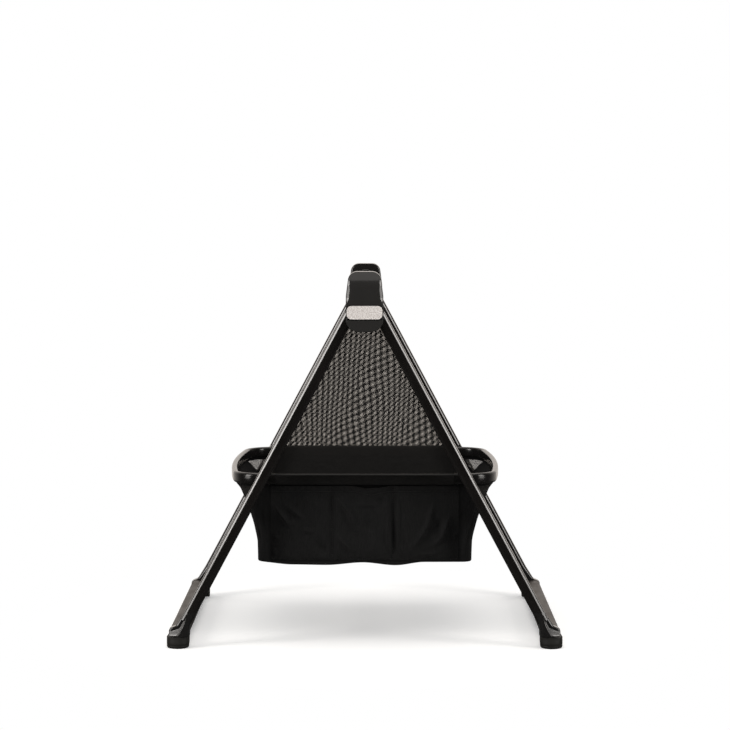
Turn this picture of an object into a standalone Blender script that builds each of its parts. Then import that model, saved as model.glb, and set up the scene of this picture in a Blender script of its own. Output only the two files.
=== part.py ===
"""Folding stand for a pram bassinet: two A frames, floor rails, hubs, a lifting basket ring and its bag.

The origin is on the floor under the middle of the stand. X runs across each A frame, Y from the near
frame to the far one, and Z is up. Shapes are drawn for the right, far quarter and mirrored by side
(-1 left, 1 right) and end (-1 near, 1 far).
"""

import math

import bmesh
import bpy
from mathutils import Vector

# Seats between fixed pieces, and the running gap of pieces that move
SEAT = 0.0003
RUNNING = 0.0005

# The A frames: hinge place, lean of the open legs, and the plane of each frame
PIVOT_X = 0.0145
PIVOT_Z = 0.575
LEAN = math.radians(28.12)
FRAME_Y = 0.252

# Leg tubes, an oval aluminium extrusion
LEG_WIDE = 0.019
LEG_DEEP = 0.026
LEG_CORNER = 0.0078
TUBE_WALL = 0.0016
LEG_FOOT_Z = 0.045
KNUCKLE_R = 0.013
KNUCKLE_NECK = 0.020
KNUCKLE_ROOT = 0.0052
SPIGOT_LONG = 0.030
SINK = 0.001

# Floor rails and feet
RAIL_WIDE = 0.030
RAIL_TALL = 0.026
RAIL_CORNER = 0.0095
RAIL_TOP = 0.034
FOOT_WIDE = 0.0315
FOOT_LONG = 0.0675
FOOT_INSET = 0.010
FOOT_OVERHANG = 0.0025
FOOT_TAPER = 0.92
SHOULDER_DROP = 0.009
SHOULDER_WIDE = 0.029
COLLAR_LONG = 0.026
COLLAR_NOSE = 0.022
COLLAR_DROP = 0.008
RAIL_SPIGOT = 0.025
BOOT_WALL = 0.0027
BOOT_LONG = 0.045
BOOT_TALL = 0.019
BOOT_SOLE = 0.004
BOOT_ROUND = 0.003

# Hub housings
HUB_WIDE = 0.062
HUB_TOP_WIDE = 0.0515
HUB_BELOW = 0.0465
HUB_ABOVE = 0.053
HUB_BOTTOM = PIVOT_Z - HUB_BELOW
HUB_TOP = PIVOT_Z + HUB_ABOVE
HUB_TAPER_TALL = 0.040
HUB_TAPER_Z = HUB_TOP - HUB_TAPER_TALL
HUB_BOTTOM_R = 0.021
HUB_TOP_R = 0.013
HUB_FRONT_GAP = 0.0075
HUB_EDGE_R = 0.004
HUB_WALL = 0.003
HUB_CAVITY_CORNER = 0.001
HUB_SLOPE_TALL = 0.023
HUB_CREASE = HUB_TOP - HUB_SLOPE_TALL
HUB_SLOPE = 0.28
SIDE_WALL_LIFT = 0.0085
PLATE_THICK = 0.003
PLATE_MARGIN = 0.0015
PLATE_CORNER = 0.0078
BOLT_R = 0.004
BOLT_HEAD_R = 0.007
BOLT_HEAD_TALL = 0.0018
BOLT_CHAMFER = 0.0008
BADGE_WIDE = 0.060
BADGE_TALL = 0.0222
BADGE_THICK = 0.0012
BADGE_CORNER = 0.0062
BADGE_CHAMFER = 0.0004
BADGE_DROP = 0.0144

# Fold release on the inner face of each hub
BUTTON_WIDE = 0.017
BUTTON_TALL = 0.013
BUTTON_CORNER = 0.0043
BUTTON_DROP = 0.0175
BUTTON_Z = HUB_TOP - BUTTON_DROP
BUTTON_PROUD = 0.003
BUTTON_DEEP = 0.0085
FLANGE_THICK = 0.0016
FLANGE_REACH = 0.0013
LOCK_THICK = 0.002
LOCK_REACH = 0.0075
LOCK_WIDE = 0.024
LOCK_WEB_WIDE = 0.0085
LOCK_BAR_TALL = 0.003
SPRING_R = 0.0034
SPRING_WIRE = 0.0005
SPRING_TURNS = 4
SPRING_LONG = 0.0078
SPRING_POST_R = 0.0042

# Basket ring
RING_X = 0.228
RING_INSET = 0.039
RING_Y = FRAME_Y - RING_INSET
RING_BOW = 0.009
RING_CORNER = 0.048
RING_THICK = 0.010
RING_TALL = 0.019
RING_ROUND = 0.0038
RING_BELOW = 0.2965
RING_Z = PIVOT_Z - RING_BELOW
RING_JOINT_BACK = 0.031
RING_SOCKET = 0.020
RING_SOCKET_WALL = 0.0025
PIN_R = 0.003
PEG_LONG = 0.010
BRACKET_GAP = 0.0015
BRACKET_R = 0.0105
BRACKET_CHAMFER = 0.0013

# Basket bag, its base board and the pockets on the near side
BAG_WALL = 0.002
BAG_DEEP = 0.132
BAG_BASE_TALL = 0.032
BAG_DRAFT_X = 0.0475
BAG_DRAFT_Y = 0.0045
BAG_BASE_X = RING_X - BAG_DRAFT_X
BAG_BASE_Y = RING_Y - BAG_DRAFT_Y
BAG_SWEEP = 1.5
BAG_BASE_CORNER = 0.016
BAG_UNDER_RING = 0.0015
BOARD_THICK = 0.0025
BOARD_MARGIN = 0.004
POCKET_COUNT = 3
POCKET_MARGIN_X = 0.0225
POCKET_UNDER_RIM = 0.0047
POCKET_ABOVE_FLOOR = 0.003
POCKET_DEEP = 0.0088
POCKET_SHEET = 0.0015
POCKET_SEAM = 0.004

# Net panels between the legs
NET_THICK = 0.0016
NET_TOP_GAP = 0.0012
NET_ABOVE_RING = 0.002
NET_HEM = 0.006
NET_PITCH_X = 0.0250
NET_PITCH_Z = 0.0300
NET_STRAND = 0.0050

SIDES = {"left": -1, "right": 1}
ENDS = {"near": -1, "far": 1}
X_AXIS = Vector((1, 0, 0))
Y_AXIS = Vector((0, 1, 0))
Z_AXIS = Vector((0, 0, 1))


# Scene, materials and mesh helpers


def clear_scene():
    for thing in list(bpy.data.objects):
        bpy.data.objects.remove(thing)


def material(name, colour, roughness, metallic=0.0):
    made = bpy.data.materials.new(name)
    made.use_nodes = True
    shader = made.node_tree.nodes["Principled BSDF"]
    shader.inputs["Base Color"].default_value = (*colour, 1.0)
    shader.inputs["Roughness"].default_value = roughness
    shader.inputs["Metallic"].default_value = metallic
    made.diffuse_color = (*colour, 1.0)
    return made


def make_materials():
    return {
        "anodised": material("black_anodised", (0.018, 0.016, 0.015), 0.22, 0.85),
        "gloss": material("gloss_black_plastic", (0.012, 0.012, 0.012), 0.18),
        "satin": material("satin_black_plastic", (0.03, 0.03, 0.03), 0.45),
        "rubber": material("black_rubber", (0.022, 0.022, 0.021), 0.75),
        "badge": material("satin_metal", (0.62, 0.58, 0.55), 0.35, 1.0),
        "steel": material("zinc_steel", (0.45, 0.45, 0.46), 0.4, 1.0),
        "cloth": material("black_cloth", (0.012, 0.012, 0.013), 0.9),
        "net": material("black_net", (0.03, 0.029, 0.027), 0.85),
        "board": material("base_board", (0.05, 0.05, 0.05), 0.8),
    }


def empty(name, place):
    made = bpy.data.objects.new(name, None)
    made.location = place
    bpy.context.scene.collection.objects.link(made)
    return made


def solid(name, mesh, paint=None, parent=None, side=1, end=1):
    """An object from a mesh drawn in the right, far quarter, hung on the empty of its moving body."""
    for vert in mesh.verts:
        vert.co.x *= side
        vert.co.y *= end
    bmesh.ops.recalc_face_normals(mesh, faces=mesh.faces)
    place = parent.location if parent else Vector((0, 0, 0))
    bmesh.ops.translate(mesh, verts=mesh.verts, vec=-place)
    data = bpy.data.meshes.new(name)
    mesh.to_mesh(data)
    mesh.free()
    made = bpy.data.objects.new(name, data)
    bpy.context.scene.collection.objects.link(made)
    made.parent = parent
    if paint:
        data.materials.append(paint)
        data.shade_smooth()
        data.set_sharp_from_angle(angle=math.radians(35))
    return made


def cut(target, name, mesh, side=1, end=1, join=False):
    """Cuts a hidden helper out of the target, or joins it on."""
    helper = solid(name, mesh, None, target.parent, side, end)
    helper.hide_render = True
    helper.display_type = "WIRE"
    change = target.modifiers.new(name, "BOOLEAN")
    change.operation = "UNION" if join else "DIFFERENCE"
    change.solver = "EXACT"
    change.object = helper


def section(wide, tall, corner, steps=4):
    """A rounded rectangle as (u, v) points, counter-clockwise."""
    corner = min(corner, wide / 2 - 1e-5, tall / 2 - 1e-5)
    points = []
    for quarter in range(4):
        turn = quarter * math.pi / 2
        away_u = (wide / 2 - corner) * (1 if quarter in (0, 3) else -1)
        away_v = (tall / 2 - corner) * (1 if quarter in (0, 1) else -1)
        for step in range(steps + 1):
            angle = turn + step / steps * math.pi / 2
            points.append((away_u + corner * math.cos(angle), away_v + corner * math.sin(angle)))
    return points


def ring_at(centre, u_axis, v_axis, points):
    return [centre + u * u_axis + v * v_axis for u, v in points]


def skin(mesh, rings):
    """Side faces through rings of equal length; returns the vertex rings."""
    rows = [[mesh.verts.new(point) for point in ring] for ring in rings]
    for low, high in zip(rows, rows[1:]):
        for i in range(len(low)):
            j = (i + 1) % len(low)
            mesh.faces.new((low[i], low[j], high[j], high[i]))
    return rows


def loft(rings):
    mesh = bmesh.new()
    rows = skin(mesh, rings)
    mesh.faces.new(rows[0])
    mesh.faces.new(rows[-1])
    return mesh


def pipe(outer, inner):
    """A hollow tube open at both ends, from its outer and inner rings."""
    mesh = bmesh.new()
    outside, inside = skin(mesh, outer), skin(mesh, inner)
    for row in (0, -1):
        for i in range(len(outside[row])):
            j = (i + 1) % len(outside[row])
            mesh.faces.new((outside[row][i], outside[row][j], inside[row][j], inside[row][i]))
    return mesh


def block(low, high):
    return loft([
        [Vector((low[0], low[1], z)), Vector((high[0], low[1], z)),
         Vector((high[0], high[1], z)), Vector((low[0], high[1], z))]
        for z in (low[2], high[2])
    ])


def disc_rings(x, z, stations, sides=24):
    """Rings round an axis along Y, from (y, radius) stations."""
    turn = [2 * math.pi * i / sides for i in range(sides)]
    return [[Vector((x + r * math.cos(a), y, z + r * math.sin(a))) for a in turn] for y, r in stations]


def rod(x, z, y_from, y_to, radius, sides=24):
    return loft(disc_rings(x, z, [(y_from, radius), (y_to, radius)], sides))


def round_inset(depth, radius):
    """How far a rounded edge stands back at a depth from its end."""
    if depth >= radius:
        return 0.0
    return radius - math.sqrt(max(0.0, radius**2 - (radius - depth) ** 2))


def arc_levels(edge, radius, sign, steps):
    """Heights spaced along a rounded end, from the edge inwards."""
    return [edge + sign * radius * (1 - math.cos(math.pi / 2 * i / steps)) for i in range(steps + 1)]


# The A frames

ALONG_LEG = Vector((math.sin(LEAN), 0, -math.cos(LEAN)))
ACROSS_LEG = Vector((math.cos(LEAN), 0, math.sin(LEAN)))
HINGE = Vector((PIVOT_X, FRAME_Y, PIVOT_Z))
LEG_END = (PIVOT_Z - LEG_FOOT_Z) / math.cos(LEAN)
LEG_INNER_Y = FRAME_Y - LEG_DEEP / 2
LEG_OUTER_Y = FRAME_Y + LEG_DEEP / 2


def leg_x(z):
    """X of the right leg's axis at a height."""
    return PIVOT_X + (PIVOT_Z - z) * math.tan(LEAN)


def leg_ring(along, shrink=0.0):
    points = section(LEG_WIDE - 2 * shrink, LEG_DEEP - 2 * shrink, LEG_CORNER - shrink)
    return ring_at(HINGE + along * ALONG_LEG, ACROSS_LEG, Y_AXIS, points)


def leg_tube(name, paint, body, side, end):
    ends = (KNUCKLE_NECK, LEG_END)
    mesh = pipe([leg_ring(t) for t in ends], [leg_ring(t, TUBE_WALL) for t in ends])
    solid(name, mesh, paint, body, side, end)


def knuckle(name, paint, body, side, end):
    """Leg top: an eye round the hinge bolt, and a spigot inside the tube."""
    inside = TUBE_WALL + SEAT
    stop = KNUCKLE_NECK - SEAT
    mesh = loft([
        leg_ring(KNUCKLE_ROOT, SEAT),
        leg_ring(stop, SEAT),
        leg_ring(stop, inside),
        leg_ring(KNUCKLE_NECK + SPIGOT_LONG, inside),
    ])
    made = solid(name, mesh, paint, body, side, end)
    faces_y = (LEG_INNER_Y + RUNNING, LEG_OUTER_Y - RUNNING)
    eye = rod(PIVOT_X, PIVOT_Z, *faces_y, KNUCKLE_R, 32)
    cut(made, name + "_eye", eye, side, end, join=True)
    bore = rod(PIVOT_X, PIVOT_Z, LEG_INNER_Y - LEG_DEEP, LEG_OUTER_Y + LEG_DEEP, BOLT_R + RUNNING)
    cut(made, name + "_bore", bore, side, end)


# Feet and floor rails

FOOT_X = leg_x(0) - FOOT_INSET
FOOT_OUT_Y = LEG_OUTER_Y + FOOT_OVERHANG
FOOT_BACK_Y = FOOT_OUT_Y - FOOT_LONG
FOOT_BASE_Z = BOOT_SOLE + SEAT
BOOT_OUT_Y = FOOT_OUT_Y + SEAT + BOOT_WALL
BOOT_BACK_Y = BOOT_OUT_Y - BOOT_LONG
BOOT_WIDE = FOOT_WIDE + 2 * (SEAT + BOOT_WALL)
RAIL_CENTRE_Z = RAIL_TOP - RAIL_TALL / 2


def plan_ring(z, wide, out_y, back_y, x=FOOT_X, corner=None):
    """A level stadium outline round the foot's centre line, drawn in towards its back."""
    long = out_y - back_y
    points = section(wide, long, corner or wide / 2)
    points = [(u * (1 if v > 0 else FOOT_TAPER), v) for u, v in points]
    return ring_at(Vector((x, (out_y + back_y) / 2, z)), X_AXIS, Y_AXIS, points)


def rail_ring(y, shrink=0.0, drop=0.0):
    """Upright section of the floor rail; a drop lowers its top and draws its sides in."""
    wide = RAIL_WIDE - 2 * shrink - drop
    tall = RAIL_TALL - 2 * shrink - drop
    points = section(wide, tall, RAIL_CORNER - shrink)
    return ring_at(Vector((FOOT_X, y, RAIL_CENTRE_Z - drop / 2)), X_AXIS, Z_AXIS, points)


def collar(grow=0.0):
    """The foot's rail end, which slopes down into the foot."""
    middle = FOOT_BACK_Y + COLLAR_LONG
    nose = middle + COLLAR_NOSE
    return loft([
        rail_ring(FOOT_BACK_Y, -grow),
        rail_ring(middle, -grow),
        rail_ring(nose + grow, -grow, COLLAR_DROP),
    ])


def behind(y, reach=FOOT_LONG):
    """A block that trims a foot piece flat at its back."""
    return block((FOOT_X - reach, y - reach, -reach), (FOOT_X + reach, y, reach + RAIL_TOP))


def foot_body(name, paint, body, side, end):
    """Moulded foot: leg spigot, swept shoulder, the stub in the boot, rail collar and rail spigot."""
    inside = TUBE_WALL + SEAT
    shoulder = LEG_END + SEAT
    rim_z = BOOT_TALL + SEAT
    waist_z = LEG_FOOT_Z - SHOULDER_DROP
    waist_x = leg_x(waist_z) + (SHOULDER_WIDE - LEG_WIDE) / 4
    hip_z = (waist_z + rim_z) / 2
    hip_x = (waist_x + FOOT_X) / 2
    hip_wide = (SHOULDER_WIDE + BOOT_WIDE) / 2
    past = BOOT_BACK_Y - BOOT_WIDE / 2
    mesh = loft([
        leg_ring(LEG_END - SPIGOT_LONG, inside),
        leg_ring(shoulder, inside),
        leg_ring(shoulder),
        plan_ring(waist_z, SHOULDER_WIDE, FOOT_OUT_Y, LEG_INNER_Y - FOOT_OVERHANG, waist_x, LEG_CORNER),
        plan_ring(hip_z, hip_wide, (FOOT_OUT_Y + BOOT_OUT_Y) / 2, past, hip_x),
        plan_ring(rim_z, BOOT_WIDE, BOOT_OUT_Y, past),
        plan_ring(rim_z, FOOT_WIDE, FOOT_OUT_Y, past),
        plan_ring(FOOT_BASE_Z, FOOT_WIDE, FOOT_OUT_Y, past),
    ])
    made = solid(name, mesh, paint, body, side, end)
    cut(made, name + "_back", behind(BOOT_BACK_Y), side, end)
    cut(made, name + "_collar", collar(), side, end, join=True)
    spigot = loft([rail_ring(y, inside) for y in (FOOT_BACK_Y + SINK, FOOT_BACK_Y - RAIL_SPIGOT)])
    cut(made, name + "_rail_spigot", spigot, side, end, join=True)


def boot(name, paint, body, side, end):
    """Rubber boot that wraps the foot's stub, open at the back where the rail collar leaves it."""
    past = BOOT_BACK_Y - BOOT_WIDE / 2
    profile = [(z, round_inset(z, BOOT_ROUND)) for z in (*arc_levels(0, BOOT_ROUND, 1, 3), BOOT_TALL)]
    mesh = loft([plan_ring(z, BOOT_WIDE - 2 * inset, BOOT_OUT_Y - inset, past) for z, inset in profile])
    made = solid(name, mesh, paint, body, side, end)
    hollow = loft([
        plan_ring(z, FOOT_WIDE + 2 * SEAT, FOOT_OUT_Y + SEAT, past) for z in (BOOT_SOLE, BOOT_TALL * 2)
    ])
    cut(made, name + "_hollow", hollow, side, end)
    cut(made, name + "_back", behind(BOOT_BACK_Y), side, end)
    cut(made, name + "_collar", collar(SEAT), side, end)


def floor_rail(name, paint, body, side):
    stop = FOOT_BACK_Y - SEAT
    ends = (-stop, stop)
    mesh = pipe([rail_ring(y) for y in ends], [rail_ring(y, TUBE_WALL) for y in ends])
    solid(name, mesh, paint, body, side)


# Hubs

HUB_INNER_Y = LEG_INNER_Y - RUNNING - HUB_WALL
HUB_FRONT_Y = LEG_OUTER_Y + HUB_FRONT_GAP
HUB_PART_Y = (HUB_INNER_Y + HUB_FRONT_Y) / 2
SIDE_WALL_Z = PIVOT_Z - KNUCKLE_R / 2 + SIDE_WALL_LIFT / 2
PLATE_Y = HUB_FRONT_Y - HUB_WALL - SEAT - PLATE_THICK


def hub_half_width(z):
    """Half width of the hub seen from the end: round bottom, tapering sides, round top."""
    share = max(0.0, z - HUB_TAPER_Z) / (HUB_TOP - HUB_TAPER_Z)
    half = HUB_WIDE / 2 - share * (HUB_WIDE - HUB_TOP_WIDE) / 2
    return half - round_inset(z - HUB_BOTTOM, HUB_BOTTOM_R) - round_inset(HUB_TOP - z, HUB_TOP_R)


def hub_ring(z, inset=0.0):
    """Level section of the hub; its front leans back above the crease and its rim is rounded."""
    rim_in = 0.0 if inset else round_inset(min(z - HUB_BOTTOM, HUB_TOP - z), HUB_EDGE_R)
    front = HUB_FRONT_Y - HUB_SLOPE * max(0.0, z - HUB_CREASE) - inset - rim_in
    back = HUB_INNER_Y + inset + rim_in
    wide = 2 * (hub_half_width(z) - inset)
    centre = Vector((0, (front + back) / 2, z))
    corner = HUB_CAVITY_CORNER if inset else HUB_EDGE_R
    return ring_at(centre, X_AXIS, Y_AXIS, section(wide, front - back, corner, 3))


def hub_solid():
    low = arc_levels(HUB_BOTTOM, HUB_BOTTOM_R, 1, 7)
    high = arc_levels(HUB_TOP, HUB_TOP_R, -1, 6)[::-1]
    return loft([hub_ring(z) for z in [*low, HUB_TAPER_Z, HUB_CREASE, *high]])


def hub_cavity():
    dome = arc_levels(HUB_TOP - HUB_WALL, HUB_TOP_R - HUB_WALL, -1, 2)[::-1]
    levels = [SIDE_WALL_Z - HUB_WALL, HUB_TAPER_Z, HUB_CREASE, *dome]
    return loft([hub_ring(z, HUB_WALL) for z in levels])


def leg_window():
    """Clears the hub's sides below the hinges, where the legs swing."""
    return block((-HUB_WIDE, HUB_INNER_Y + HUB_WALL, HUB_BOTTOM - HUB_WIDE),
                 (HUB_WIDE, HUB_FRONT_Y - HUB_WALL, SIDE_WALL_Z))


def half_space(outer):
    """Removes the other half of the hub past the parting plane."""
    gap = SEAT / 2
    if outer:
        return block((-HUB_WIDE, 0, 0), (HUB_WIDE, HUB_PART_Y + gap, HUB_TOP * 2))
    return block((-HUB_WIDE, HUB_PART_Y - gap, 0), (HUB_WIDE, HUB_FRONT_Y * 2, HUB_TOP * 2))


def hub_shell(name, paint, body, end, outer):
    made = solid(name, hub_solid(), paint, body, 1, end)
    cut(made, name + "_cavity", hub_cavity(), 1, end)
    cut(made, name + "_window", leg_window(), 1, end)
    cut(made, name + "_half", half_space(outer), 1, end)
    if outer:
        post = rod(0, BUTTON_Z, SPRING_SEAT_Y, HUB_FRONT_Y - HUB_WALL + SINK, SPRING_POST_R, 16)
        cut(made, name + "_spring_post", post, 1, end, join=True)
        return
    for side in SIDES.values():
        hole = rod(PIVOT_X, PIVOT_Z, HUB_INNER_Y - HUB_WALL, HUB_INNER_Y + 2 * HUB_WALL, BOLT_R + SEAT)
        cut(made, f"{name}_bolt_hole_{side}", hole, side, end)
    window = button_loft(HUB_INNER_Y - HUB_WALL, HUB_INNER_Y + 2 * HUB_WALL, RUNNING)
    cut(made, name + "_button_hole", window, 1, end)


def hub_plate(name, paint, body, end):
    """Steel plate inside the outer shell that ties the two hinge bolts together."""
    low = PIVOT_Z - KNUCKLE_R
    high = HUB_CREASE - PLATE_MARGIN
    wide = 2 * (hub_half_width(high) - HUB_WALL - PLATE_MARGIN)
    points = section(wide, high - low, PLATE_CORNER)
    centre = Vector((0, PLATE_Y, (low + high) / 2))
    mesh = loft([ring_at(centre + y * Y_AXIS, X_AXIS, Z_AXIS, points) for y in (0, PLATE_THICK)])
    made = solid(name, mesh, paint, body, 1, end)
    for side in SIDES.values():
        hole = rod(PIVOT_X, PIVOT_Z, PLATE_Y - PLATE_THICK, PLATE_Y + 2 * PLATE_THICK, BOLT_R + SEAT)
        cut(made, f"{name}_hole_{side}", hole, side, end)


def hinge_bolt(name, paint, body, side, end):
    """Shoulder bolt: its head lies on the inner shell and its tip in the plate."""
    head = HUB_INNER_Y - SEAT
    stations = [
        (head - BOLT_HEAD_TALL, BOLT_HEAD_R - BOLT_CHAMFER),
        (head - BOLT_HEAD_TALL + BOLT_CHAMFER, BOLT_HEAD_R),
        (head, BOLT_HEAD_R),
        (head, BOLT_R),
        (PLATE_Y + PLATE_THICK, BOLT_R),
    ]
    solid(name, loft(disc_rings(PIVOT_X, PIVOT_Z, stations)), paint, body, side, end)


def badge(name, paint, body, end):
    """Blank satin plate across the hub's front."""
    centre = Vector((0, HUB_FRONT_Y + SEAT, PIVOT_Z - BADGE_DROP))
    rings = [
        ring_at(centre + y * Y_AXIS, X_AXIS, Z_AXIS,
                section(BADGE_WIDE - 2 * inset, BADGE_TALL - 2 * inset, BADGE_CORNER - inset))
        for y, inset in ((0, 0), (BADGE_THICK - BADGE_CHAMFER, 0), (BADGE_THICK, BADGE_CHAMFER))
    ]
    solid(name, loft(rings), paint, body, 1, end)


# Fold release

BUTTON_FACE_Y = HUB_INNER_Y - BUTTON_PROUD
BUTTON_BACK_Y = BUTTON_FACE_Y + BUTTON_DEEP
FLANGE_Y = HUB_INNER_Y + HUB_WALL + SEAT
LOCK_Y = BUTTON_BACK_Y + SEAT
SPRING_Y = LOCK_Y + LOCK_THICK + SEAT
SPRING_SEAT_Y = SPRING_Y + SPRING_LONG + SEAT


def button_loft(y_from, y_to, grow=0.0):
    points = section(BUTTON_WIDE + 2 * grow, BUTTON_TALL + 2 * grow, BUTTON_CORNER + grow, 3)
    centre = Vector((0, 0, BUTTON_Z))
    return loft([ring_at(centre + y * Y_AXIS, X_AXIS, Z_AXIS, points) for y in (y_from, y_to)])


def release_button(name, paint, body, end):
    made = solid(name, button_loft(BUTTON_FACE_Y, BUTTON_BACK_Y), paint, body, 1, end)
    flange = button_loft(FLANGE_Y, FLANGE_Y + FLANGE_THICK, FLANGE_REACH)
    cut(made, name + "_flange", flange, 1, end, join=True)


def lock_slide(name, paint, body, end):
    """Plate behind the button, with the bar that reaches over both knuckles."""
    low = PIVOT_Z + KNUCKLE_R + 2 * RUNNING
    high = BUTTON_Z + BUTTON_TALL / 2 - FLANGE_THICK
    web = block((-LOCK_WEB_WIDE / 2, LOCK_Y, low), (LOCK_WEB_WIDE / 2, LOCK_Y + LOCK_THICK, high))
    made = solid(name, web, paint, body, 1, end)
    bar = block((-LOCK_WIDE / 2, LOCK_Y, low), (LOCK_WIDE / 2, LOCK_Y + LOCK_REACH, low + LOCK_BAR_TALL))
    cut(made, name + "_bar", bar, 1, end, join=True)


def release_spring(name, paint, body, end):
    """Return coil between the lock slide and the outer shell's post."""
    per_turn, around = 10, 5
    count = SPRING_TURNS * per_turn
    travel = SPRING_LONG - 2 * SPRING_WIRE
    rings = []
    for i in range(count + 1):
        angle = 2 * math.pi * i / per_turn
        out = Vector((math.cos(angle), 0, math.sin(angle)))
        y = SPRING_Y + SPRING_WIRE + travel * i / count
        centre = Vector((0, y, BUTTON_Z)) + (SPRING_R - SPRING_WIRE) * out
        turn = [2 * math.pi * j / around for j in range(around)]
        rings.append([centre + SPRING_WIRE * (math.cos(a) * out + math.sin(a) * Y_AXIS) for a in turn])
    solid(name, loft(rings), paint, body, 1, end)


# Basket ring

RING_PIVOT_X = leg_x(RING_Z)
RING_JOINT_X = RING_PIVOT_X - RING_JOINT_BACK
RING_OUT_Y = RING_Y + RING_THICK / 2
RING_BASE_Z = RING_Z - RING_TALL / 2
BRACKET_Y = RING_OUT_Y + BRACKET_GAP


def outline(half_x, half_y, corner, bow, start_x):
    """Right half of a bowed outline with round corners: points and outward normals, near to far."""
    flat = half_y - corner
    corner_x = half_x - bow - corner
    spread = 2 * math.atan2(bow, flat)
    corner_steps, bow_steps = 6, 4
    path = [(Vector((start_x, half_y, 0)), Y_AXIS)]
    for i in range(corner_steps + 1):
        angle = math.pi / 2 - (math.pi / 2 - spread) * i / corner_steps
        out = Vector((math.cos(angle), math.sin(angle), 0))
        path.append((Vector((corner_x, flat, 0)) + corner * out, out))
    start = path[-1][0]
    for i in range(1, bow_steps // 2 + 1):
        share = 1 - 2 * i / bow_steps
        x = half_x - (half_x - start.x) * share**2
        out = Vector((math.cos(spread * share), math.sin(spread * share), 0))
        path.append((Vector((x, start.y * share, 0)), out))
    mirrored = [(Vector((p.x, -p.y, 0)), Vector((n.x, -n.y, 0))) for p, n in path[:-1]]
    return mirrored + path[::-1]


def ring_end_path():
    path = outline(RING_X, RING_Y, RING_CORNER, RING_BOW, RING_JOINT_X)
    return [(point + RING_Z * Z_AXIS, out) for point, out in path]


def ring_section(shrink=0.0, steps=3):
    return section(RING_THICK - 2 * shrink, RING_TALL - 2 * shrink, RING_ROUND - shrink / 2, steps)


def rail_core(x, shrink):
    """Upright section of a ring rail that runs along X."""
    return ring_at(Vector((x, RING_Y, RING_Z)), Y_AXIS, Z_AXIS, ring_section(shrink))


def ring_end(name, paint, body, side):
    """Moulded end loop with a socket for each rail and a bore for each pin or peg."""
    mesh = loft([ring_at(p, n, Z_AXIS, ring_section()) for p, n in ring_end_path()])
    made = solid(name, mesh, paint, body, side)
    for label, end in ENDS.items():
        socket = loft([
            rail_core(RING_JOINT_X - RING_SOCKET, RING_SOCKET_WALL),
            rail_core(RING_JOINT_X + RING_SOCKET, RING_SOCKET_WALL),
        ])
        cut(made, f"{name}_{label}_socket", socket, side, end)
        bore = rod(RING_PIVOT_X, RING_Z, RING_Y - RING_THICK, RING_Y + RING_THICK, PIN_R + SEAT)
        cut(made, f"{name}_{label}_bore", bore, side, end)


def ring_rail(name, paint, body, end):
    """Straight bar between the end loops, stepped down into their sockets."""
    stop = RING_JOINT_X - SEAT
    tip = RING_JOINT_X + RING_SOCKET - SEAT
    inside = RING_SOCKET_WALL + SEAT
    mesh = loft([
        rail_core(-tip, inside),
        rail_core(-stop, inside),
        rail_core(-stop, 0),
        rail_core(stop, 0),
        rail_core(stop, inside),
        rail_core(tip, inside),
    ])
    solid(name, mesh, paint, body, 1, end)


def ring_pin(name, paint, body, side, end, y_to):
    """A pin that fills the ring's bore and stands out towards the leg."""
    mesh = rod(RING_PIVOT_X, RING_Z, RING_Y - RING_THICK / 2 + RUNNING, y_to, PIN_R, 16)
    solid(name, mesh, paint, body, side, end)


def leg_boss(name, paint, body, side, end):
    stations = [
        (BRACKET_Y, BRACKET_R - BRACKET_CHAMFER),
        (BRACKET_Y + BRACKET_CHAMFER, BRACKET_R),
        (LEG_INNER_Y - SEAT, BRACKET_R),
    ]
    return solid(name, loft(disc_rings(RING_PIVOT_X, RING_Z, stations)), paint, body, side, end)


def pin_bracket(name, paint, body, side, end):
    """Round boss on the leg that holds the ring's hinge pin."""
    made = leg_boss(name, paint, body, side, end)
    bore = rod(RING_PIVOT_X, RING_Z, BRACKET_Y - BRACKET_R, LEG_INNER_Y + BRACKET_R, PIN_R + SEAT)
    cut(made, name + "_bore", bore, side, end)


def peg_cradle(name, paint, body, side, end):
    """Cradle on the leg that the ring's peg drops into, open on the way that it leaves in a fold."""
    made = leg_boss(name, paint, body, side, end)
    seat_r = PIN_R + SEAT
    backing = LEG_INNER_Y - HUB_WALL
    groove = rod(RING_PIVOT_X, RING_Z, BRACKET_Y - BRACKET_R, backing, seat_r)
    cut(made, name + "_groove", groove, side, end)
    leave = math.atan2(RING_PIVOT_X, PIVOT_Z - RING_Z)
    lip_u, lip_v = seat_r * math.sin(leave), -seat_r * math.cos(leave)
    reach = 2 * BRACKET_R
    corners = [
        (0, 0),
        (lip_u, lip_v),
        (reach, lip_v + (reach - lip_u) * math.tan(leave)),
        (reach, reach),
        (-seat_r, reach),
        (-seat_r, 0),
    ]
    centre = Vector((RING_PIVOT_X, 0, RING_Z))
    faces_y = (BRACKET_Y - BRACKET_R, backing)
    mouth = loft([ring_at(centre + y * Y_AXIS, X_AXIS, Z_AXIS, corners) for y in faces_y])
    cut(made, name + "_mouth", mouth, side, end)


# Basket bag

BAG_TOP_Z = RING_BASE_Z - SEAT
BAG_FLOOR_Z = RING_BASE_Z - BAG_DEEP


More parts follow.
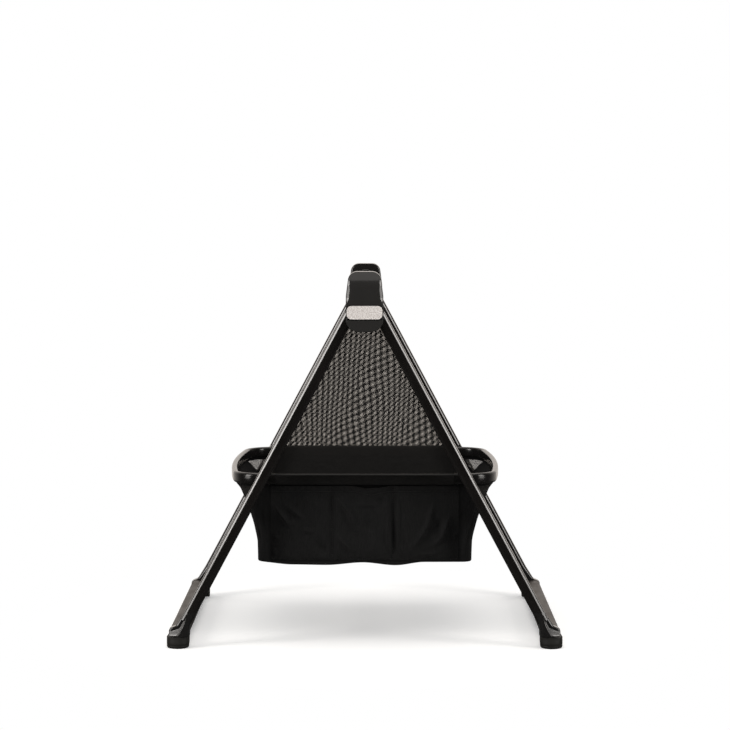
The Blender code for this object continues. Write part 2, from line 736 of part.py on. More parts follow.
def bag_ring(z, inset=0.0):
    """Level outline of the bag: its walls sweep in from the ring and drop straight at the base."""
    start = BAG_FLOOR_Z + BAG_BASE_TALL
    share = (max(0.0, z - start) / (BAG_TOP_Z - start)) ** BAG_SWEEP
    top_inset = RING_THICK / 2 - BAG_UNDER_RING
    base = (BAG_BASE_X, BAG_BASE_Y, BAG_BASE_CORNER, 0)
    top = (RING_X - top_inset, RING_Y - top_inset, RING_CORNER - top_inset, RING_BOW)
    sizes = [low + (high - low) * share for low, high in zip(base, top)]
    right = [point - inset * out for point, out in outline(*sizes, RING_JOINT_X)]
    left = [Vector((-point.x, point.y, 0)) for point in reversed(right)]
    return [point + z * Z_AXIS for point in right + left]


def bag(name, paint, body):
    mesh = bmesh.new()
    start = BAG_FLOOR_Z + BAG_BASE_TALL
    rise = BAG_TOP_Z - start
    upper = [start + rise * i / 5 for i in range(6)]
    outside = skin(mesh, [bag_ring(z) for z in [BAG_FLOOR_Z, *upper]])
    inside = skin(mesh, [bag_ring(z, BAG_WALL) for z in [BAG_FLOOR_Z + BAG_WALL, *upper]])
    mesh.faces.new(outside[0])
    mesh.faces.new(inside[0])
    for i in range(len(outside[-1])):
        j = (i + 1) % len(outside[-1])
        mesh.faces.new((outside[-1][i], outside[-1][j], inside[-1][j], inside[-1][i]))
    solid(name, mesh, paint, body)


def base_board(name, paint, body):
    z = BAG_FLOOR_Z + BAG_WALL + SEAT
    wide = 2 * (BAG_BASE_X - BAG_WALL - BOARD_MARGIN)
    long = 2 * (BAG_BASE_Y - BAG_WALL - BOARD_MARGIN)
    points = section(wide, long, BAG_BASE_CORNER, 4)
    mesh = loft([ring_at(Vector((0, 0, z + rise)), X_AXIS, Y_AXIS, points) for rise in (0, BOARD_THICK)])
    solid(name, mesh, paint, body)


def pockets(name, paint, body):
    """A row of open pockets sewn to the bag's near wall."""
    back = max(BAG_BASE_Y, RING_Y - RING_THICK / 2 + BAG_UNDER_RING) + SEAT
    front = back + POCKET_DEEP
    reach = BAG_BASE_X - POCKET_MARGIN_X
    bottom = BAG_FLOOR_Z + POCKET_ABOVE_FLOOR
    top = BAG_TOP_Z - POCKET_UNDER_RIM
    made = solid(name, block((-reach, back, bottom), (reach, front, top)), paint, body, 1, -1)
    pitch = (2 * reach - POCKET_SEAM) / POCKET_COUNT
    for i in range(POCKET_COUNT):
        low = -reach + POCKET_SEAM + i * pitch
        hollow = block((low, back - POCKET_DEEP, bottom + POCKET_SEAM),
                       (low + pitch - POCKET_SEAM, front - POCKET_SHEET, top * 2))
        cut(made, f"{name}_hollow_{i}", hollow, 1, -1)


# Net panels


def net_panel(name, paint, body, end):
    """Flat net between the legs, with a plain hem and diamond gaps in staggered rows."""
    inner = LEG_WIDE / 2 / math.cos(LEAN) + SEAT / math.cos(LEAN)
    top = HUB_BOTTOM - NET_TOP_GAP
    bottom = RING_Z + RING_TALL / 2 + NET_ABOVE_RING
    corners = [(-1, bottom), (1, bottom), (1, top), (-1, top)]
    outline = [(s * (leg_x(z) - inner), z) for s, z in corners]
    faces_y = (FRAME_Y - NET_THICK / 2, FRAME_Y + NET_THICK / 2)
    mesh = loft([[Vector((x, y, z)) for x, z in outline] for y in faces_y])
    made = solid(name, mesh, paint, body, 1, end)
    gaps = bmesh.new()
    half_x, half_z = (NET_PITCH_X - NET_STRAND) / 2, (NET_PITCH_Z - NET_STRAND) / 2
    rows = int((top - bottom - 2 * NET_HEM - 2 * half_z) / (NET_PITCH_Z / 2)) + 1
    for row in range(rows):
        z = bottom + NET_HEM + half_z + row * NET_PITCH_Z / 2
        reach = leg_x(z) - inner - NET_HEM - half_x
        offset = (row % 2) * NET_PITCH_X / 2
        count = int((reach + offset) / NET_PITCH_X) + 1
        for i in range(-count, count + 1):
            x = i * NET_PITCH_X + offset
            if abs(x) > reach:
                continue
            tips = ((x + half_x, z), (x, z + half_z), (x - half_x, z), (x, z - half_z))
            rows_of = skin(gaps, [[Vector((a, y, b)) for a, b in tips]
                                  for y in (FRAME_Y - NET_THICK, FRAME_Y + NET_THICK)])
            gaps.faces.new(rows_of[0])
            gaps.faces.new(rows_of[1])
    cut(made, name + "_gaps", gaps, 1, end)


# The whole stand


def build_frames(paints, hubs):
    for label, side in SIDES.items():
        body = empty(label + "_frame", (side * PIVOT_X, 0, PIVOT_Z))
        floor_rail(label + "_floor_rail", paints["anodised"], body, side)
        for where, end in ENDS.items():
            name = f"{label}_{where}_"
            leg_tube(name + "leg", paints["anodised"], body, side, end)
            knuckle(name + "knuckle", paints["satin"], body, side, end)
            foot_body(name + "foot", paints["satin"], body, side, end)
            boot(name + "boot", paints["rubber"], body, side, end)
            hinge_bolt(f"{where}_{label}_bolt", paints["steel"], hubs, side, end)
            if side < 0:
                pin_bracket(name + "ring_bracket", paints["satin"], body, side, end)
                ring_pin(name + "ring_pin", paints["steel"], body, side, end, LEG_INNER_Y - 2 * SEAT)
            else:
                peg_cradle(name + "ring_cradle", paints["satin"], body, side, end)


def build_hubs(paints, hubs):
    for where, end in ENDS.items():
        hub_shell(where + "_hub_outer", paints["gloss"], hubs, end, True)
        hub_shell(where + "_hub_inner", paints["satin"], hubs, end, False)
        hub_plate(where + "_hub_plate", paints["steel"], hubs, end)
        badge(where + "_badge", paints["badge"], hubs, end)
        release_spring(where + "_release_spring", paints["steel"], hubs, end)
        net_panel(where + "_net", paints["net"], hubs, end)
        body = empty(where + "_release", (0, end * BUTTON_FACE_Y, BUTTON_Z))
        release_button(where + "_release_button", paints["satin"], body, end)
        lock_slide(where + "_lock_slide", paints["steel"], body, end)


def build_basket(paints):
    body = empty("basket", (-RING_PIVOT_X, 0, RING_Z))
    for label, side in SIDES.items():
        ring_end(f"ring_{label}_end", paints["gloss"], body, side)
    for where, end in ENDS.items():
        ring_rail(f"ring_{where}_rail", paints["satin"], body, end)
        ring_pin(f"ring_{where}_peg", paints["steel"], body, 1, end, RING_OUT_Y + PEG_LONG)
    bag("bag", paints["cloth"], body)
    base_board("base_board", paints["board"], body)
    pockets("pockets", paints["cloth"], body)


def main():
    clear_scene()
    paints = make_materials()
    hubs = empty("hubs", (0, 0, PIVOT_Z))
    build_frames(paints, hubs)
    build_hubs(paints, hubs)
    build_basket(paints)


main()
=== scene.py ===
import math

import bmesh
import bpy
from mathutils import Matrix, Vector, noise


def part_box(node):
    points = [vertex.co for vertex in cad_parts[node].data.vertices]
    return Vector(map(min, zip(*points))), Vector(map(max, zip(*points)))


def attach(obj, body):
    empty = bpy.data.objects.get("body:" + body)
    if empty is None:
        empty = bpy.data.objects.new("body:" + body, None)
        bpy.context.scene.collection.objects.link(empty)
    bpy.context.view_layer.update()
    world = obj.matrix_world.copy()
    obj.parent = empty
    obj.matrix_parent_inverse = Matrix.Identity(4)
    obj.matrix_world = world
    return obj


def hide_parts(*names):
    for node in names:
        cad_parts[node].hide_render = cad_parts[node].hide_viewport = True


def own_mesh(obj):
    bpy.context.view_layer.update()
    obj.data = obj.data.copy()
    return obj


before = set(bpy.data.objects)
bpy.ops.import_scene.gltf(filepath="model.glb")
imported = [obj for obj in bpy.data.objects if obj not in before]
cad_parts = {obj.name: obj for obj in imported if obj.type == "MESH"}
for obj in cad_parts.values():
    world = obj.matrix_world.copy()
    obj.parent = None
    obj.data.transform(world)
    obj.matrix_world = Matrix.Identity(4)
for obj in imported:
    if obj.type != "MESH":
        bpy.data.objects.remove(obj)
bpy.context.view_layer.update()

# The view: a long lens almost level with the hubs and square to the near A frame, so that
# the far frame only peeps out at the edges of the near one.
PHOTO_SIDE, FOCAL_IN_PIXELS, SENSOR = 730, 2360.5, 36.0
CAMERA_AT, CAMERA_DOWN, CAMERA_TURN = (0.0151, -4.1534, 0.7457), 0.0698, 0.0037
scene = bpy.context.scene
scene.view_settings.view_transform = "Standard"


def placed(name, data):
    """A new object in the scene."""
    made = bpy.data.objects.new(name, data)
    scene.collection.objects.link(made)
    return made


camera = placed("camera", bpy.data.cameras.new("camera"))
camera.data.sensor_width = SENSOR
camera.data.lens = FOCAL_IN_PIXELS / PHOTO_SIDE * SENSOR
camera.location = CAMERA_AT
camera.rotation_euler = (math.pi / 2 - CAMERA_DOWN, 0, CAMERA_TURN)
scene.camera = camera


# The studio: white paper all round and behind, a dim room on the camera's side, a tall soft
# light at each side that draws the thin bright lines down the legs, and one large one overhead.
PAPER, MIRRORED_PAPER, PAPER_FROM = 1.0, 0.88, 0.80
MIRRORED_WARMTH = (1.0, 0.925, 0.86, 1)
ROOM_LIGHT, DIM_ROOM = 0.50, 0.012
FLOOR_RADIUS, FLOOR_SIDES, FLOOR_GLOW, FLOOR_MIRRORED = 1.0, 64, 0.29, 0.04
FLOOR_COLOUR, FLOOR_BOUNCE = (0.90, 0.90, 0.8955, 1), (0.55, 0.55, 0.539, 1)
FADE_FROM, FADE_TO = 0.36, 0.60
LIGHT_COLOUR = (1.0, 0.965, 0.93)
# Each light: where it stands, what it faces, its width and height, and how bright it looks
LIGHTS = {
    "left strip": ((-2.25, -1.38, 1.46), (0, 0, 0.55), 0.8, 1.2, 9.5),
    "left strip, low": ((-2.25, -1.38, 0.46), (0, 0, 0.15), 0.8, 0.82, 5.0),
    "right strip": ((2.25, -1.38, 1.46), (0, 0, 0.55), 0.8, 1.2, 7.6),
    "right strip, low": ((2.25, -1.38, 0.46), (0, 0, 0.15), 0.8, 0.82, 4.2),
    "overhead": ((0, 0.2, 3.0), (0, 0, 0), 2.4, 2.4, 1.6),
    "front fill": ((0.2, -3.0, 2.6), (0, 0, 0.3), 1.6, 1.0, 0.9),
}


def node(tree, kind, inputs=None, family="ShaderNode", **settings):
    """Adds a node; each input is a value or the socket that feeds it."""
    made = tree.nodes.new(family + kind)
    for name, value in settings.items():
        setattr(made, name, value)
    for name, value in (inputs or {}).items():
        if isinstance(value, bpy.types.NodeSocket):
            tree.links.new(value, made.inputs[name])
        else:
            made.inputs[name].default_value = value
    return made


def maths(tree, operation, *values, clamp=False):
    return node(tree, "Math", dict(enumerate(values)), operation=operation, use_clamp=clamp).outputs[0]


def between(tree, value, low, high, to_low=0.0, to_high=1.0):
    """A smooth ramp from one range to another."""
    ends = {"Value": value, "From Min": low, "From Max": high, "To Min": to_low, "To Max": to_high}
    return node(tree, "MapRange", ends, interpolation_type="SMOOTHSTEP").outputs["Result"]


def blended(tree, share, first, second):
    return node(tree, "MixShader", {"Fac": share, 1: first, 2: second}).outputs[0]


world = bpy.data.worlds.new("white studio")
scene.world = world
world.use_nodes = True
sky = world.node_tree
sky.nodes.clear()
rays = node(sky, "LightPath").outputs
facing = node(sky, "SeparateXYZ", {0: node(sky, "TexCoord").outputs["Generated"]}).outputs["Y"]
mirrored = between(sky, facing, 0.0, PAPER_FROM, DIM_ROOM, MIRRORED_PAPER)
mirror_ray = maths(sky, "MAXIMUM", rays["Is Glossy Ray"], rays["Is Transmission Ray"])
unseen = node(sky, "Mix", {"Factor": mirror_ray, 2: ROOM_LIGHT, 3: mirrored}, data_type="FLOAT").outputs[0]
level = node(sky, "Mix", {"Factor": rays["Is Camera Ray"], 2: unseen, 3: PAPER}, data_type="FLOAT")
warm = node(sky, "Mix", {"Factor": mirror_ray, 6: (1, 1, 1, 1), 7: MIRRORED_WARMTH}, data_type="RGBA")
paper_back = node(sky, "Background", {"Color": warm.outputs[2], "Strength": level.outputs[0]})
sky.links.new(paper_back.outputs[0], node(sky, "OutputWorld").inputs["Surface"])

floor_mesh = bpy.data.meshes.new("floor")
angles = [2 * math.pi * i / FLOOR_SIDES for i in range(FLOOR_SIDES)]
edge = [(FLOOR_RADIUS * math.cos(a), FLOOR_RADIUS * math.sin(a), 0.0) for a in angles]
floor_mesh.from_pydata(edge, [], [tuple(range(FLOOR_SIDES))])
paper = bpy.data.materials.new("floor paper")
paper.use_nodes = True
tree = paper.node_tree
tree.nodes.clear()
rays = node(tree, "LightPath").outputs
place = node(tree, "TexCoord").outputs["Object"]
away = node(tree, "VectorMath", {0: place}, operation="LENGTH").outputs["Value"]
lit = node(tree, "BsdfDiffuse", {"Color": FLOOR_COLOUR})
glow = node(tree, "Emission", {"Color": (1, 1, 1, 1), "Strength": FLOOR_GLOW})
seen = node(tree, "AddShader", {0: lit.outputs[0], 1: glow.outputs[0]})
bounced = node(tree, "BsdfDiffuse", {"Color": FLOOR_BOUNCE})
mirrored = node(tree, "Emission", {"Color": (1, 0.98, 0.95, 1), "Strength": FLOOR_MIRRORED})
white = node(tree, "Emission", {"Color": (1, 1, 1, 1), "Strength": PAPER})
unseen = blended(tree, rays["Is Glossy Ray"], bounced.outputs[0], mirrored.outputs[0])
seen = blended(tree, rays["Is Camera Ray"], unseen, seen.outputs[0])
fade = maths(tree, "MULTIPLY", between(tree, away, FADE_FROM, FADE_TO), rays["Is Camera Ray"])
faded = blended(tree, fade, seen, white.outputs[0])
tree.links.new(faded, node(tree, "OutputMaterial").inputs["Surface"])
floor_mesh.materials.append(paper)
placed("floor", floor_mesh)

for name, (stand, aim, wide, tall, radiance) in LIGHTS.items():
    lamp = bpy.data.lights.new(name, "AREA")
    lamp.shape = "RECTANGLE"
    lamp.size, lamp.size_y = wide, tall
    lamp.energy = radiance * math.pi * wide * tall
    lamp.color = LIGHT_COLOUR
    light = placed(name, lamp)
    light.location = stand
    light.rotation_euler = (Vector(aim) - Vector(stand)).to_track_quat("-Z", "Y").to_euler()


# Floor rails: two straight oval tubes of black anodised aluminium, one from foot to foot on
# each side, extruded and sawn to length, and pushed over the feet's plugs.
X, Y, Z = Vector((1, 0, 0)), Vector((0, 1, 0)), Vector((0, 0, 1))
SIDES, ENDS = {"left": -1, "right": 1}, {"near": -1, "far": 1}
RAIL_WIDE, RAIL_TALL, RAIL_CORNER, RAIL_ROWS = 0.030, 0.026, 0.0095, 12
WELD = 1e-6


def rounded(wide, tall, corner, steps=8):
    """A rounded rectangle as (across, up) points, counter-clockwise."""
    points = []
    for quarter in range(4):
        away_u = (wide / 2 - corner) * (1 if quarter in (0, 3) else -1)
        away_v = (tall / 2 - corner) * (1 if quarter in (0, 1) else -1)
        for step in range(steps + 1):
            angle = (quarter + step / steps) * math.pi / 2
            points.append((away_u + corner * math.cos(angle), away_v + corner * math.sin(angle)))
    return points


def ring_at(centre, across, up, points):
    return [Vector(centre) + u * across + v * up for u, v in points]


def smoothed(shape, mesh, sharp, weld=WELD):
    """Writes a bmesh to a mesh: welded, its normals turned out, smooth but for its sharp edges."""
    if weld:
        bmesh.ops.remove_doubles(shape, verts=shape.verts, dist=weld)
    bmesh.ops.recalc_face_normals(shape, faces=shape.faces)
    shape.to_mesh(mesh)
    shape.free()
    mesh.shade_smooth()
    if sharp:
        mesh.set_sharp_from_angle(angle=math.radians(sharp))
    return mesh


def skin(name, grids, sharp):
    """One mesh from grids of points, each (rows, closed round, capped); its UV map is in metres."""
    verts, faces, places = [], [], []
    for rows, wrap, capped in grids:
        start, wide, middle = len(verts), len(rows[0]), rows[len(rows) // 2]
        u, v = [0.0], [0.0]
        for i in range(wide):
            u.append(u[-1] + (middle[(i + 1) % wide] - middle[i]).length)
        for low, high in zip(rows, rows[1:]):
            v.append(v[-1] + max((low[i] - high[i]).length for i in range(0, wide, max(1, wide // 6))))
        verts += [point for row in rows for point in row]
        for j in range(len(rows) - 1):
            at = start + j * wide
            for i in range(wide if wrap else wide - 1):
                k = (i + 1) % wide
                faces.append((at + i, at + k, at + wide + k, at + wide + i))
                places += [(u[i], v[j]), (u[i + 1], v[j]), (u[i + 1], v[j + 1]), (u[i], v[j + 1])]
        if capped:
            for j in (0, len(rows) - 1):
                faces.append(tuple(range(start + j * wide, start + (j + 1) * wide)))
                places += [(point.x, point.y + point.z) for point in rows[j]]
    mesh = bpy.data.meshes.new(name)
    mesh.from_pydata(verts, [], faces)
    for corner, place in zip(mesh.uv_layers.new(name="UVMap").data, places):
        corner.uv = place
    shape = bmesh.new()
    shape.from_mesh(mesh)
    return smoothed(shape, mesh, sharp)


def piece(name, mesh, material, body, finish, *stands_for):
    """A piece in a material that rides on a body and stands for CAD nodes, which it hides; finish is not
    used.
    """
    made = placed(name, mesh)
    mesh.materials.clear()
    mesh.materials.append(material)
    if stands_for:
        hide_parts(*stands_for)
    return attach(made, body)


def solid(name, shells, sharp, material, body, finish, *stands_for):
    """A piece made of closed skins, each over rows of points."""
    mesh = skin(name, [(rows, True, True) for rows in shells], sharp)
    return piece(name, mesh, material, body, finish, *stands_for)


def carried(name, material):
    """A CAD node whose shape stays; only its material is better."""
    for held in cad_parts[name].material_slots:
        held.material = material


def new_material(name, colour, roughness, metallic=0.0, flat=False, **sockets):
    """A material, its tree, its Principled shader, and where a spot is: in the object or flat."""
    made = bpy.data.materials.new(name)
    made.use_nodes = True
    tree = made.node_tree
    shader = tree.nodes["Principled BSDF"]
    shader.inputs["Base Color"].default_value = (*colour, 1)
    shader.inputs["Roughness"].default_value = roughness
    shader.inputs["Metallic"].default_value = metallic
    for key, value in sockets.items():
        shader.inputs[key.replace("_", " ").title().replace("Ior", "IOR")].default_value = value
    made.diffuse_color = (*colour, 1)
    if flat:
        return made, tree, shader, node(tree, "UVMap", uv_map="UVMap").outputs["UV"]
    return made, tree, shader, node(tree, "TexCoord").outputs["Object"]


def stretched(tree, place, across, up):
    return node(tree, "Mapping", {"Vector": place, "Scale": (across, up, 1)}).outputs["Vector"]


def clouds(tree, place, scale, detail):
    """Noise; a pair of scales draws it out along one way."""
    if isinstance(scale, tuple):
        place, scale = stretched(tree, place, *scale), 1.0
    return node(tree, "TexNoise", {"Vector": place, "Scale": scale, "Detail": detail}).outputs["Fac"]


def bumped(tree, shader, height, distance, strength):
    raised = node(tree, "Bump", {"Height": height, "Distance": distance, "Strength": strength})
    tree.links.new(raised.outputs["Normal"], shader.inputs["Normal"])


def tinted(tree, shader, factor, low, high):
    """Lets the colour wander between two tones."""
    made = node(tree, "Mix", {"Factor": factor, 6: (*low, 1), 7: (*high, 1)}, data_type="RGBA")
    tree.links.new(made.outputs[2], shader.inputs["Base Color"])


def anodised_film(name, tones, rough, coat, **sockets):
    """Black anodised aluminium: drawn lines along the tube, a slow change in gloss, rub marks."""
    made, tree, shader, place = new_material(name, tones[0], rough[0], flat=True, coat_weight=coat,
                                             coat_roughness=0.12, coat_ior=1.6, **sockets)
    slow = clouds(tree, place, (40, 14), 3.0)
    marks = between(tree, clouds(tree, place, (300, 120), 5.0), 0.66, 0.78)
    shade = maths(tree, "MAXIMUM", maths(tree, "MULTIPLY", marks, 0.5), slow, clamp=True)
    tinted(tree, shader, shade, *tones)
    gloss = maths(tree, "ADD", between(tree, slow, 0.3, 0.7, *rough), maths(tree, "MULTIPLY", marks, 0.12))
    tree.links.new(gloss, shader.inputs["Roughness"])
    bumped(tree, shader, clouds(tree, place, (2600, 9), 2.0), 0.00002, 0.10)
    return made


rail_metal = anodised_film("brushed anodised aluminium", ((0.0085, 0.0066, 0.0052), (0.017, 0.0135, 0.0108)),
                           (0.40, 0.50), 0.0, specular_ior_level=0.36, specular_tint=(1.0, 0.84, 0.70, 1))
for side_name in SIDES:
    rail = side_name + "_floor_rail"
    low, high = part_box(rail)
    middle = (low + high) / 2
    rows = [ring_at((middle.x, low.y + (high.y - low.y) * i / RAIL_ROWS, middle.z), X, Z,
                    rounded(RAIL_WIDE, RAIL_TALL, RAIL_CORNER)) for i in range(RAIL_ROWS + 1)]
    solid(rail + "_tube", [rows], 35, rail_metal, side_name + "_frame", "anodised_tube", rail)


# Legs: four slimmer oval tubes of the same black extrusion, two to an A frame, each pinned at
# its top to a hub and glued over the foot's plug at its bottom.
HINGE_X, HINGE_Z, LEAN, FRAME_Y = 0.0145, 0.575, math.radians(28.12), 0.252
LEG_WIDE, LEG_DEEP, LEG_CORNER, LEG_ROWS = 0.019, 0.026, 0.0072, 16
LEG_FACET_WIDE, LEG_FACET_DEEP, FACET_SOFT, FACET_TIGHT = 0.0050, 0.0031, 0.3, 0.62
LEG_TOP, LEG_LOW = 0.020, 0.045
LEG_LONG = (HINGE_Z - LEG_LOW) / math.cos(LEAN)
# Each corner of the stand: its name, its body, and which side and end it is at
CORNERS = [(f"{side_name}_{end_name}", side_name + "_frame", side, end)
           for side_name, side in SIDES.items() for end_name, end in ENDS.items()]


def leg_x(z):
    return HINGE_X + (HINGE_Z - z) * math.tan(LEAN)


def blunt(start, corner, stop, steps, bulge=1.0):
    """Points round a blunted corner, from a place before it to a place after it."""
    points = []
    for i in range(steps + 1):
        t = i / steps
        pull = 2 * t * (1 - t) * bulge
        total = (1 - t) ** 2 + pull + t * t
        points.append(((1 - t) ** 2 * start + pull * corner + t * t * stop) / total)
    return points


def faceted(wide, tall, reach_u, reach_v):
    """A rounded rectangle whose corners are flat facets with soft edges."""
    corners = []
    for u, v in ((1, 1), (-1, 1), (-1, -1), (1, -1)):
        ends = [Vector((u * wide / 2, v * (tall / 2 - reach_v))),
                Vector((u * (wide / 2 - reach_u), v * tall / 2))]
        corners += ends if u * v > 0 else ends[::-1]
    points = []
    for i, spot in enumerate(corners):
        before, after = corners[i - 1], corners[(i + 1) % len(corners)]
        soft = (1, FACET_TIGHT) if i % 2 else (FACET_TIGHT, 1)
        start, stop = (spot + (other - spot) * FACET_SOFT * k for other, k in zip((before, after), soft))
        points += blunt(start, spot, stop, 5)
    return points


leg_metal = anodised_film("gloss anodised aluminium", ((0.0040, 0.0035, 0.0032), (0.0095, 0.0083, 0.0075)),
                          (0.16, 0.24), 0.6, specular_ior_level=0.5)
leg_section = faceted(LEG_WIDE, LEG_DEEP, LEG_FACET_WIDE, LEG_FACET_DEEP)
for corner_name, body, side, end in CORNERS:
    down = Vector((side * math.sin(LEAN), 0, -math.cos(LEAN)))
    across = Vector((side * math.cos(LEAN), 0, math.sin(LEAN)))
    hinge = Vector((side * HINGE_X, end * FRAME_Y, HINGE_Z))
    rows = [ring_at(hinge + (LEG_TOP + (LEG_LONG - LEG_TOP) * i / LEG_ROWS) * down, across, Y, leg_section)
            for i in range(LEG_ROWS + 1)]
    solid(corner_name + "_leg_tube", [rows], 35, leg_metal, body, "anodised_tube", corner_name + "_leg")


# Knuckles: moulded glass-filled nylon plugs in the leg tops, each with an eye that turns on
# the hinge bolt inside the hub.
def grained(name, colour, roughness, rough, tones, slow, grain, bump, **sockets):
    """A moulding whose tone and gloss change slowly, over a fine grain; noises are (scale, detail)."""
    made, tree, shader, place = new_material(name, colour, roughness, **sockets)
    shade = clouds(tree, place, *slow)
    tinted(tree, shader, shade, *tones)
    tree.links.new(between(tree, shade, 0.3, 0.7, *rough), shader.inputs["Roughness"])
    bumped(tree, shader, clouds(tree, place, *grain), *bump)
    return made


nylon = grained("glass-filled nylon", (0.012, 0.012, 0.012), 0.42, (0.36, 0.5),
                ((0.008, 0.008, 0.008), (0.017, 0.0168, 0.0165)), (45.0, 2.0), (900.0, 3.0), (0.00006, 0.5),
                specular_ior_level=0.4)
for corner_name, *_ in CORNERS:
    carried(corner_name + "_knuckle", nylon)


# Feet: each is one satin black moulding that takes the leg's end and the rail's end at the
# corner. A groove and a scoop run down beside its front face, under the shoulder's lip.
FOOT_X, FOOT_FRONT, FOOT_BACK, SHOULDER_BACK = leg_x(0) - 0.010, 0.2675, 0.2000, 0.2368
BOOT_RIM, RAIL_TOP, SHOULDER_TOP, SHOULDER_Y = 0.0193, 0.034, 0.0600, 0.2560
LEG_HALF = LEG_WIDE / 2 / math.cos(LEAN) + 0.0001
FACE_TURN, HEEL_TURN, FACET_WIDE, GROOVE, LIP_WIDE = 0.0040, 0.0015, 0.0057, 0.0030, 0.0032
STUB_WIDE, STUB_BACK, STUB_LOW = 0.0315, 0.2258, 0.006
# Level rows: coarse ones from the top, then fine ones down to the boot's rim
COARSE_STEP, COARSE_ROWS, FINE_STEP, FINE_ROWS = 0.0008, 37, 0.0004, 29
# The foot's inner side, the outer edge of its front face, and the outer edges of the scoop
# beside that face and of the shoulder over the rail's end, as (height, x)
INNER_SIDE = ((BOOT_RIM, 0.2924), (0.0265, 0.2922), (0.0350, 0.2911), (0.0430, 0.2892), (0.0500, 0.2854))
FACE_EDGE = ((0.0193, 0.3232), (0.0201, 0.3180), (0.0216, 0.3139), (0.0250, 0.3106), (0.0307, 0.3070),
             (0.0399, 0.3025), (0.0520, 0.2984))
SCOOP_EDGE = ((0.0193, 0.3264), (0.0240, 0.3256), (0.0278, 0.3237), (0.0292, 0.3208), (0.0307, 0.3163),
              (0.0337, 0.3090), (0.0400, 0.3045), (0.0520, 0.2992))
SHOULDER_EDGE = ((0.0290, 0.3268), (0.0315, 0.3256), (0.0337, 0.3222), (0.0362, 0.3162), (0.0411, 0.3123),
                 (0.0505, 0.3065), (0.0560, 0.3030))
# Rows of the cuff on the rail's end: y, how far its top is drawn down, how far its sides come in
CUFF_ROWS = ((FOOT_BACK, 0.0, 0.0006), (FOOT_BACK + 0.0003, 0.0, 0.0), (0.2250, 0.0, 0.0), (0.2440, 0.0, 0.0),
             (0.2456, 0.0003, 0.0003), (0.2466, 0.0009, 0.0012), (0.2470, 0.0022, 0.0034))


def ease_between(value, low, high):
    t = min(1.0, max(0.0, (value - low) / (high - low)))
    return t * t * (3 - 2 * t)


def height_line(points, from_leg, z):
    """x at a height on a smooth line through (height, x) points, which then follows the leg."""
    line = [*points, *((top, leg_x(top) + from_leg) for top in (SHOULDER_TOP, SHOULDER_TOP + 0.01))]
    z = max(z, line[0][0])
    for i, ((za, xa), (zb, xb)) in enumerate(zip(line, line[1:])):
        if z <= zb:
            before, after = line[max(0, i - 1)], line[min(len(line) - 1, i + 2)]
            go_in = (xb - before[1]) / (zb - before[0]) * (zb - za) if i else xb - xa
            go_out = (after[1] - xa) / (after[0] - za) * (zb - za)
            t = (z - za) / (zb - za)
            return (xa * (1 + 2 * t) * (1 - t) ** 2 + go_in * t * (1 - t) ** 2
                    + xb * t * t * (3 - 2 * t) + go_out * t * t * (t - 1))
    return line[-1][1]


def toward(corner, other, reach):
    """A place beside a corner on the way to another one, a reach away but not half way."""
    run = other - corner
    return corner + (run.normalized() * min(reach, run.length * 0.48) if run.length > 1e-7 else run)


def blunted(corners):
    """A closed outline through blunt corners, each (x, y, reach before, reach after)."""
    spots, points = [Vector(corner[:2]) for corner in corners], []
    for i, (spot, (x, y, before, after)) in enumerate(zip(spots, corners)):
        start, stop = toward(spot, spots[i - 1], before), toward(spot, spots[(i + 1) % len(spots)], after)
        points += blunt(start, spot, stop, 4, 0.7)
    return points


def foot_section(z):
    """A level section of the foot: the leg's own shape at the top, and below it a front face, a
    groove and a scoop beside that face, and the shoulder's lip."""
    ease = ease_between(SHOULDER_TOP - z, 0.0, SHOULDER_TOP - BOOT_RIM)
    soon = ease_between(SHOULDER_TOP - z, 0.0, 0.018)
    inner = height_line(INNER_SIDE, -LEG_HALF, z)
    face = height_line(FACE_EDGE, LEG_HALF - FACET_WIDE, z)
    scoop = height_line(SCOOP_EDGE, LEG_HALF - 0.0001, z)
    shoulder = max(scoop + 0.0001, height_line(SHOULDER_EDGE, LEG_HALF, z))
    leg_front, leg_back = FRAME_Y + LEG_DEEP / 2, FRAME_Y - LEG_DEEP / 2
    front = leg_front + (FOOT_FRONT - leg_front) * ease + 0.0001
    back = leg_back - 0.0001 + (SHOULDER_BACK - leg_back) * ease
    turn = LEG_CORNER + FACE_TURN * ease
    heel = LEG_CORNER * (1 - ease) + HEEL_TURN * ease
    groove_y = front - GROOVE * soon
    scoop_y = groove_y - (scoop - face) * (0.54 - 0.20 * soon)
    lip = min(LIP_WIDE, max(0.0001, shoulder - scoop) * 0.8)
    return blunted((
        (inner, back, heel, heel), (inner, front, turn, turn), (face - 0.0022 * soon, front, 0.0003, 0.0003),
        (face - 0.0012 * soon, front - 0.0004 * soon, 0.0003, 0.0003), (face, groove_y, 0.0004, 0.0006),
        (scoop, scoop_y, 0.0006, 0.0003), (scoop, SHOULDER_Y, 0.0003, 0.0003),
        (shoulder - lip, SHOULDER_Y, 0.3 * lip, 0.3 * lip),
        (shoulder, SHOULDER_Y - 0.62 * lip, 0.2 * lip, 0.2 * lip), (shoulder, back, heel, heel)))


def foot_plan(wide, out_y, back_y, steps=14):
    """A level outline: a half-round front and straight sides that draw in to the back."""
    radius = wide / 2
    angles = [math.pi * i / steps for i in range(steps + 1)]
    points = [(FOOT_X + radius * math.cos(a), out_y - radius + radius * math.sin(a)) for a in angles]
    middle = (out_y - radius + back_y) / 2
    return points + [(FOOT_X + radius * k, y) for k, y in ((-0.97, middle), (-0.94, back_y), (0.94, back_y),
                                                           (0.97, middle))]


